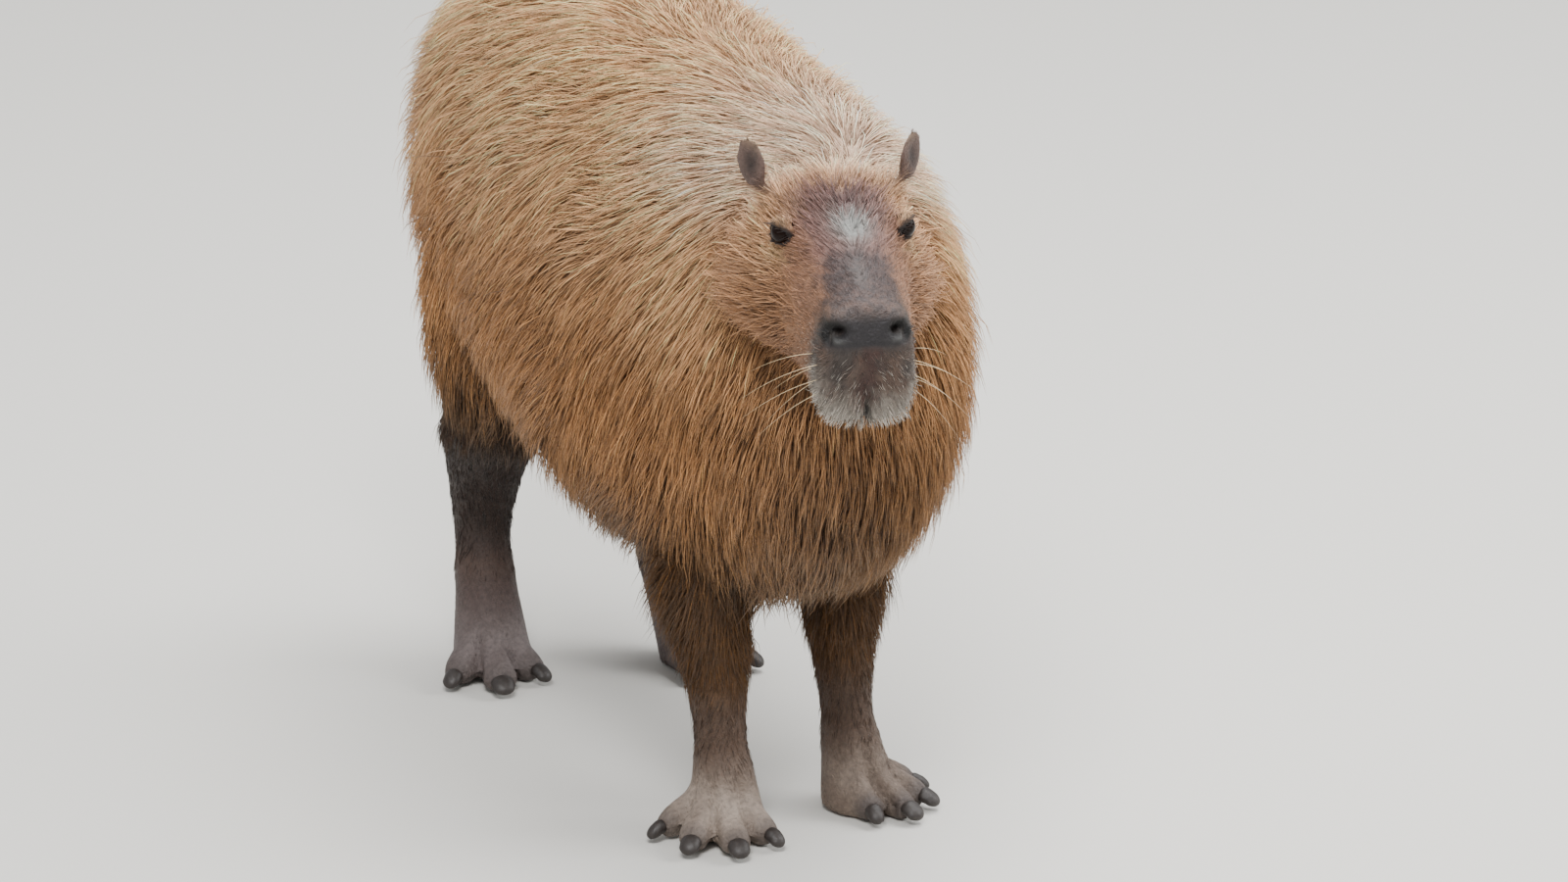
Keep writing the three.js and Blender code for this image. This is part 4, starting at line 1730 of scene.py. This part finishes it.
@dataclass
class Claws:
    """The claws: the frame's own shapes, rounded."""

    levels: int = 2
    fuller: float = 1.22

    def build(self) -> list[tuple[str, bpy.types.Object]]:
        """Makes a rounded claw for each claw of the frame.

        Returns:
            Each frame node's name with the claw that stands for it.
        """
        finish = HornFinish().material()
        made = []
        for name in sorted(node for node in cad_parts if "claw" in node):
            shell = bmesh.new()
            shell.from_mesh(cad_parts[name].data)
            bmesh.ops.remove_doubles(shell, verts=shell.verts, dist=1e-6)
            middle = sum((vertex.co for vertex in shell.verts), Vector()) / len(shell.verts)
            about = Matrix.Translation(-middle)
            bmesh.ops.scale(shell, vec=(self.fuller,) * 3, space=about, verts=shell.verts)
            for vertex in shell.verts:
                vertex.co.z = max(vertex.co.z, 0.0)
            for face in shell.faces:
                face.smooth = True
            mesh = bpy.data.meshes.new(name + "_horn")
            shell.to_mesh(mesh)
            shell.free()
            claw = mesh_object(name + "_horn", mesh)
            smooth = claw.modifiers.new("round", "SUBSURF")
            smooth.levels = self.levels
            smooth.render_levels = self.levels
            mesh.materials.append(finish)
            made.append((name, claw))
        return made


@dataclass
class Studio:
    """The floor, the light and the camera."""

    aim: tuple = (0.0227, -0.0789, 0.310)
    distance: float = 9.0
    azimuth: float = math.radians(-25.0)
    elevation: float = math.radians(19.0)
    lens: float = 247.05
    floor_half: float = 30.0
    sky: tuple = (0.92, 0.93, 0.95, 1.0)
    sky_strength: float = 0.72
    # Each lamp's name, place, size in metres and power in watts
    lamps: tuple = (
        ("key", (-1.4, -2.4, 3.8), 1.6, 200.0),
        ("top", (0.9, 0.6, 3.8), 2.4, 190.0),
        ("side", (3.0, -1.0, 2.2), 1.8, 85.0),
    )

    def build(self) -> None:
        """Sets the stage, the lamps and the camera."""
        plane = bmesh.new()
        bmesh.ops.create_grid(plane, x_segments=1, y_segments=1, size=self.floor_half)
        mesh = bpy.data.meshes.new("floor")
        plane.to_mesh(mesh)
        plane.free()
        mesh.materials.append(FloorFinish().material())
        mesh_object("floor", mesh)
        world = bpy.data.worlds.new("studio")
        world.use_nodes = True
        background = world.node_tree.nodes["Background"]
        background.inputs["Color"].default_value = self.sky
        background.inputs["Strength"].default_value = self.sky_strength
        bpy.context.scene.world = world
        for name, at, size, power in self.lamps:
            self.lamp(name, at, size, power)
        camera = bpy.data.cameras.new("camera")
        camera.sensor_width = 36.0
        camera.lens = self.lens
        camera.clip_end = 100.0
        holder = bpy.data.objects.new("camera", camera)
        bpy.context.scene.collection.objects.link(holder)
        round_about = Matrix.Rotation(self.azimuth, 3, "Z") @ Matrix.Rotation(-self.elevation, 3, "X")
        back = round_about @ Vector((0.0, -1.0, 0.0))
        holder.location = Vector(self.aim) + back * self.distance
        holder.rotation_mode = "QUATERNION"
        holder.rotation_quaternion = (-back).to_track_quat("-Z", "Y")
        bpy.context.scene.camera = holder

    @staticmethod
    def lamp(name: str, at: tuple, size: float, power: float) -> None:
        """Hangs a soft square lamp that faces the animal.

        Args:
            name: The lamp's name.
            at: Its place.
            size: The length of its side.
            power: Its strength in watts.
        """
        light = bpy.data.lights.new(name, "AREA")
        light.energy = power
        light.size = size
        holder = bpy.data.objects.new(name, light)
        bpy.context.scene.collection.objects.link(holder)
        holder.location = at
        holder.rotation_mode = "QUATERNION"
        holder.rotation_quaternion = (Vector(at) - Vector((0, 0, 0.3))).to_track_quat("Z", "Y")


def keep(piece: bpy.types.Object) -> None:
    """Sets a piece on the body.

    Args:
        piece: The finished piece.
    """
    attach(piece, "root")
    triangles = sum(len(face.vertices) - 2 for face in piece.data.polygons)
    LOG.info("%s: %d triangles", piece.name, triangles)


def main() -> None:
    """Builds the studio and the animal, piece by piece."""
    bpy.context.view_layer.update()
    Studio().build()
    head = HeadFrame()
    under = Skin()
    skin = under.build(head)
    keep(skin)
    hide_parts(*under.flesh_nodes())
    for piece in Coat(skin, head, under.weights, under.colours).pieces():
        keep(piece)
    keep(Whiskers(head, skin).build())
    for side, node in ((-1, "eye_right"), (1, "eye_left")):
        ball = Eyeballs(head).build(side)
        keep(ball)
        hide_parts(node)
    for node, claw in Claws().build():
        keep(claw)
        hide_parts(node)
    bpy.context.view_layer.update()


if __name__ == "__main__":
    logging.basicConfig(level=logging.INFO, format="%(message)s")
    main()
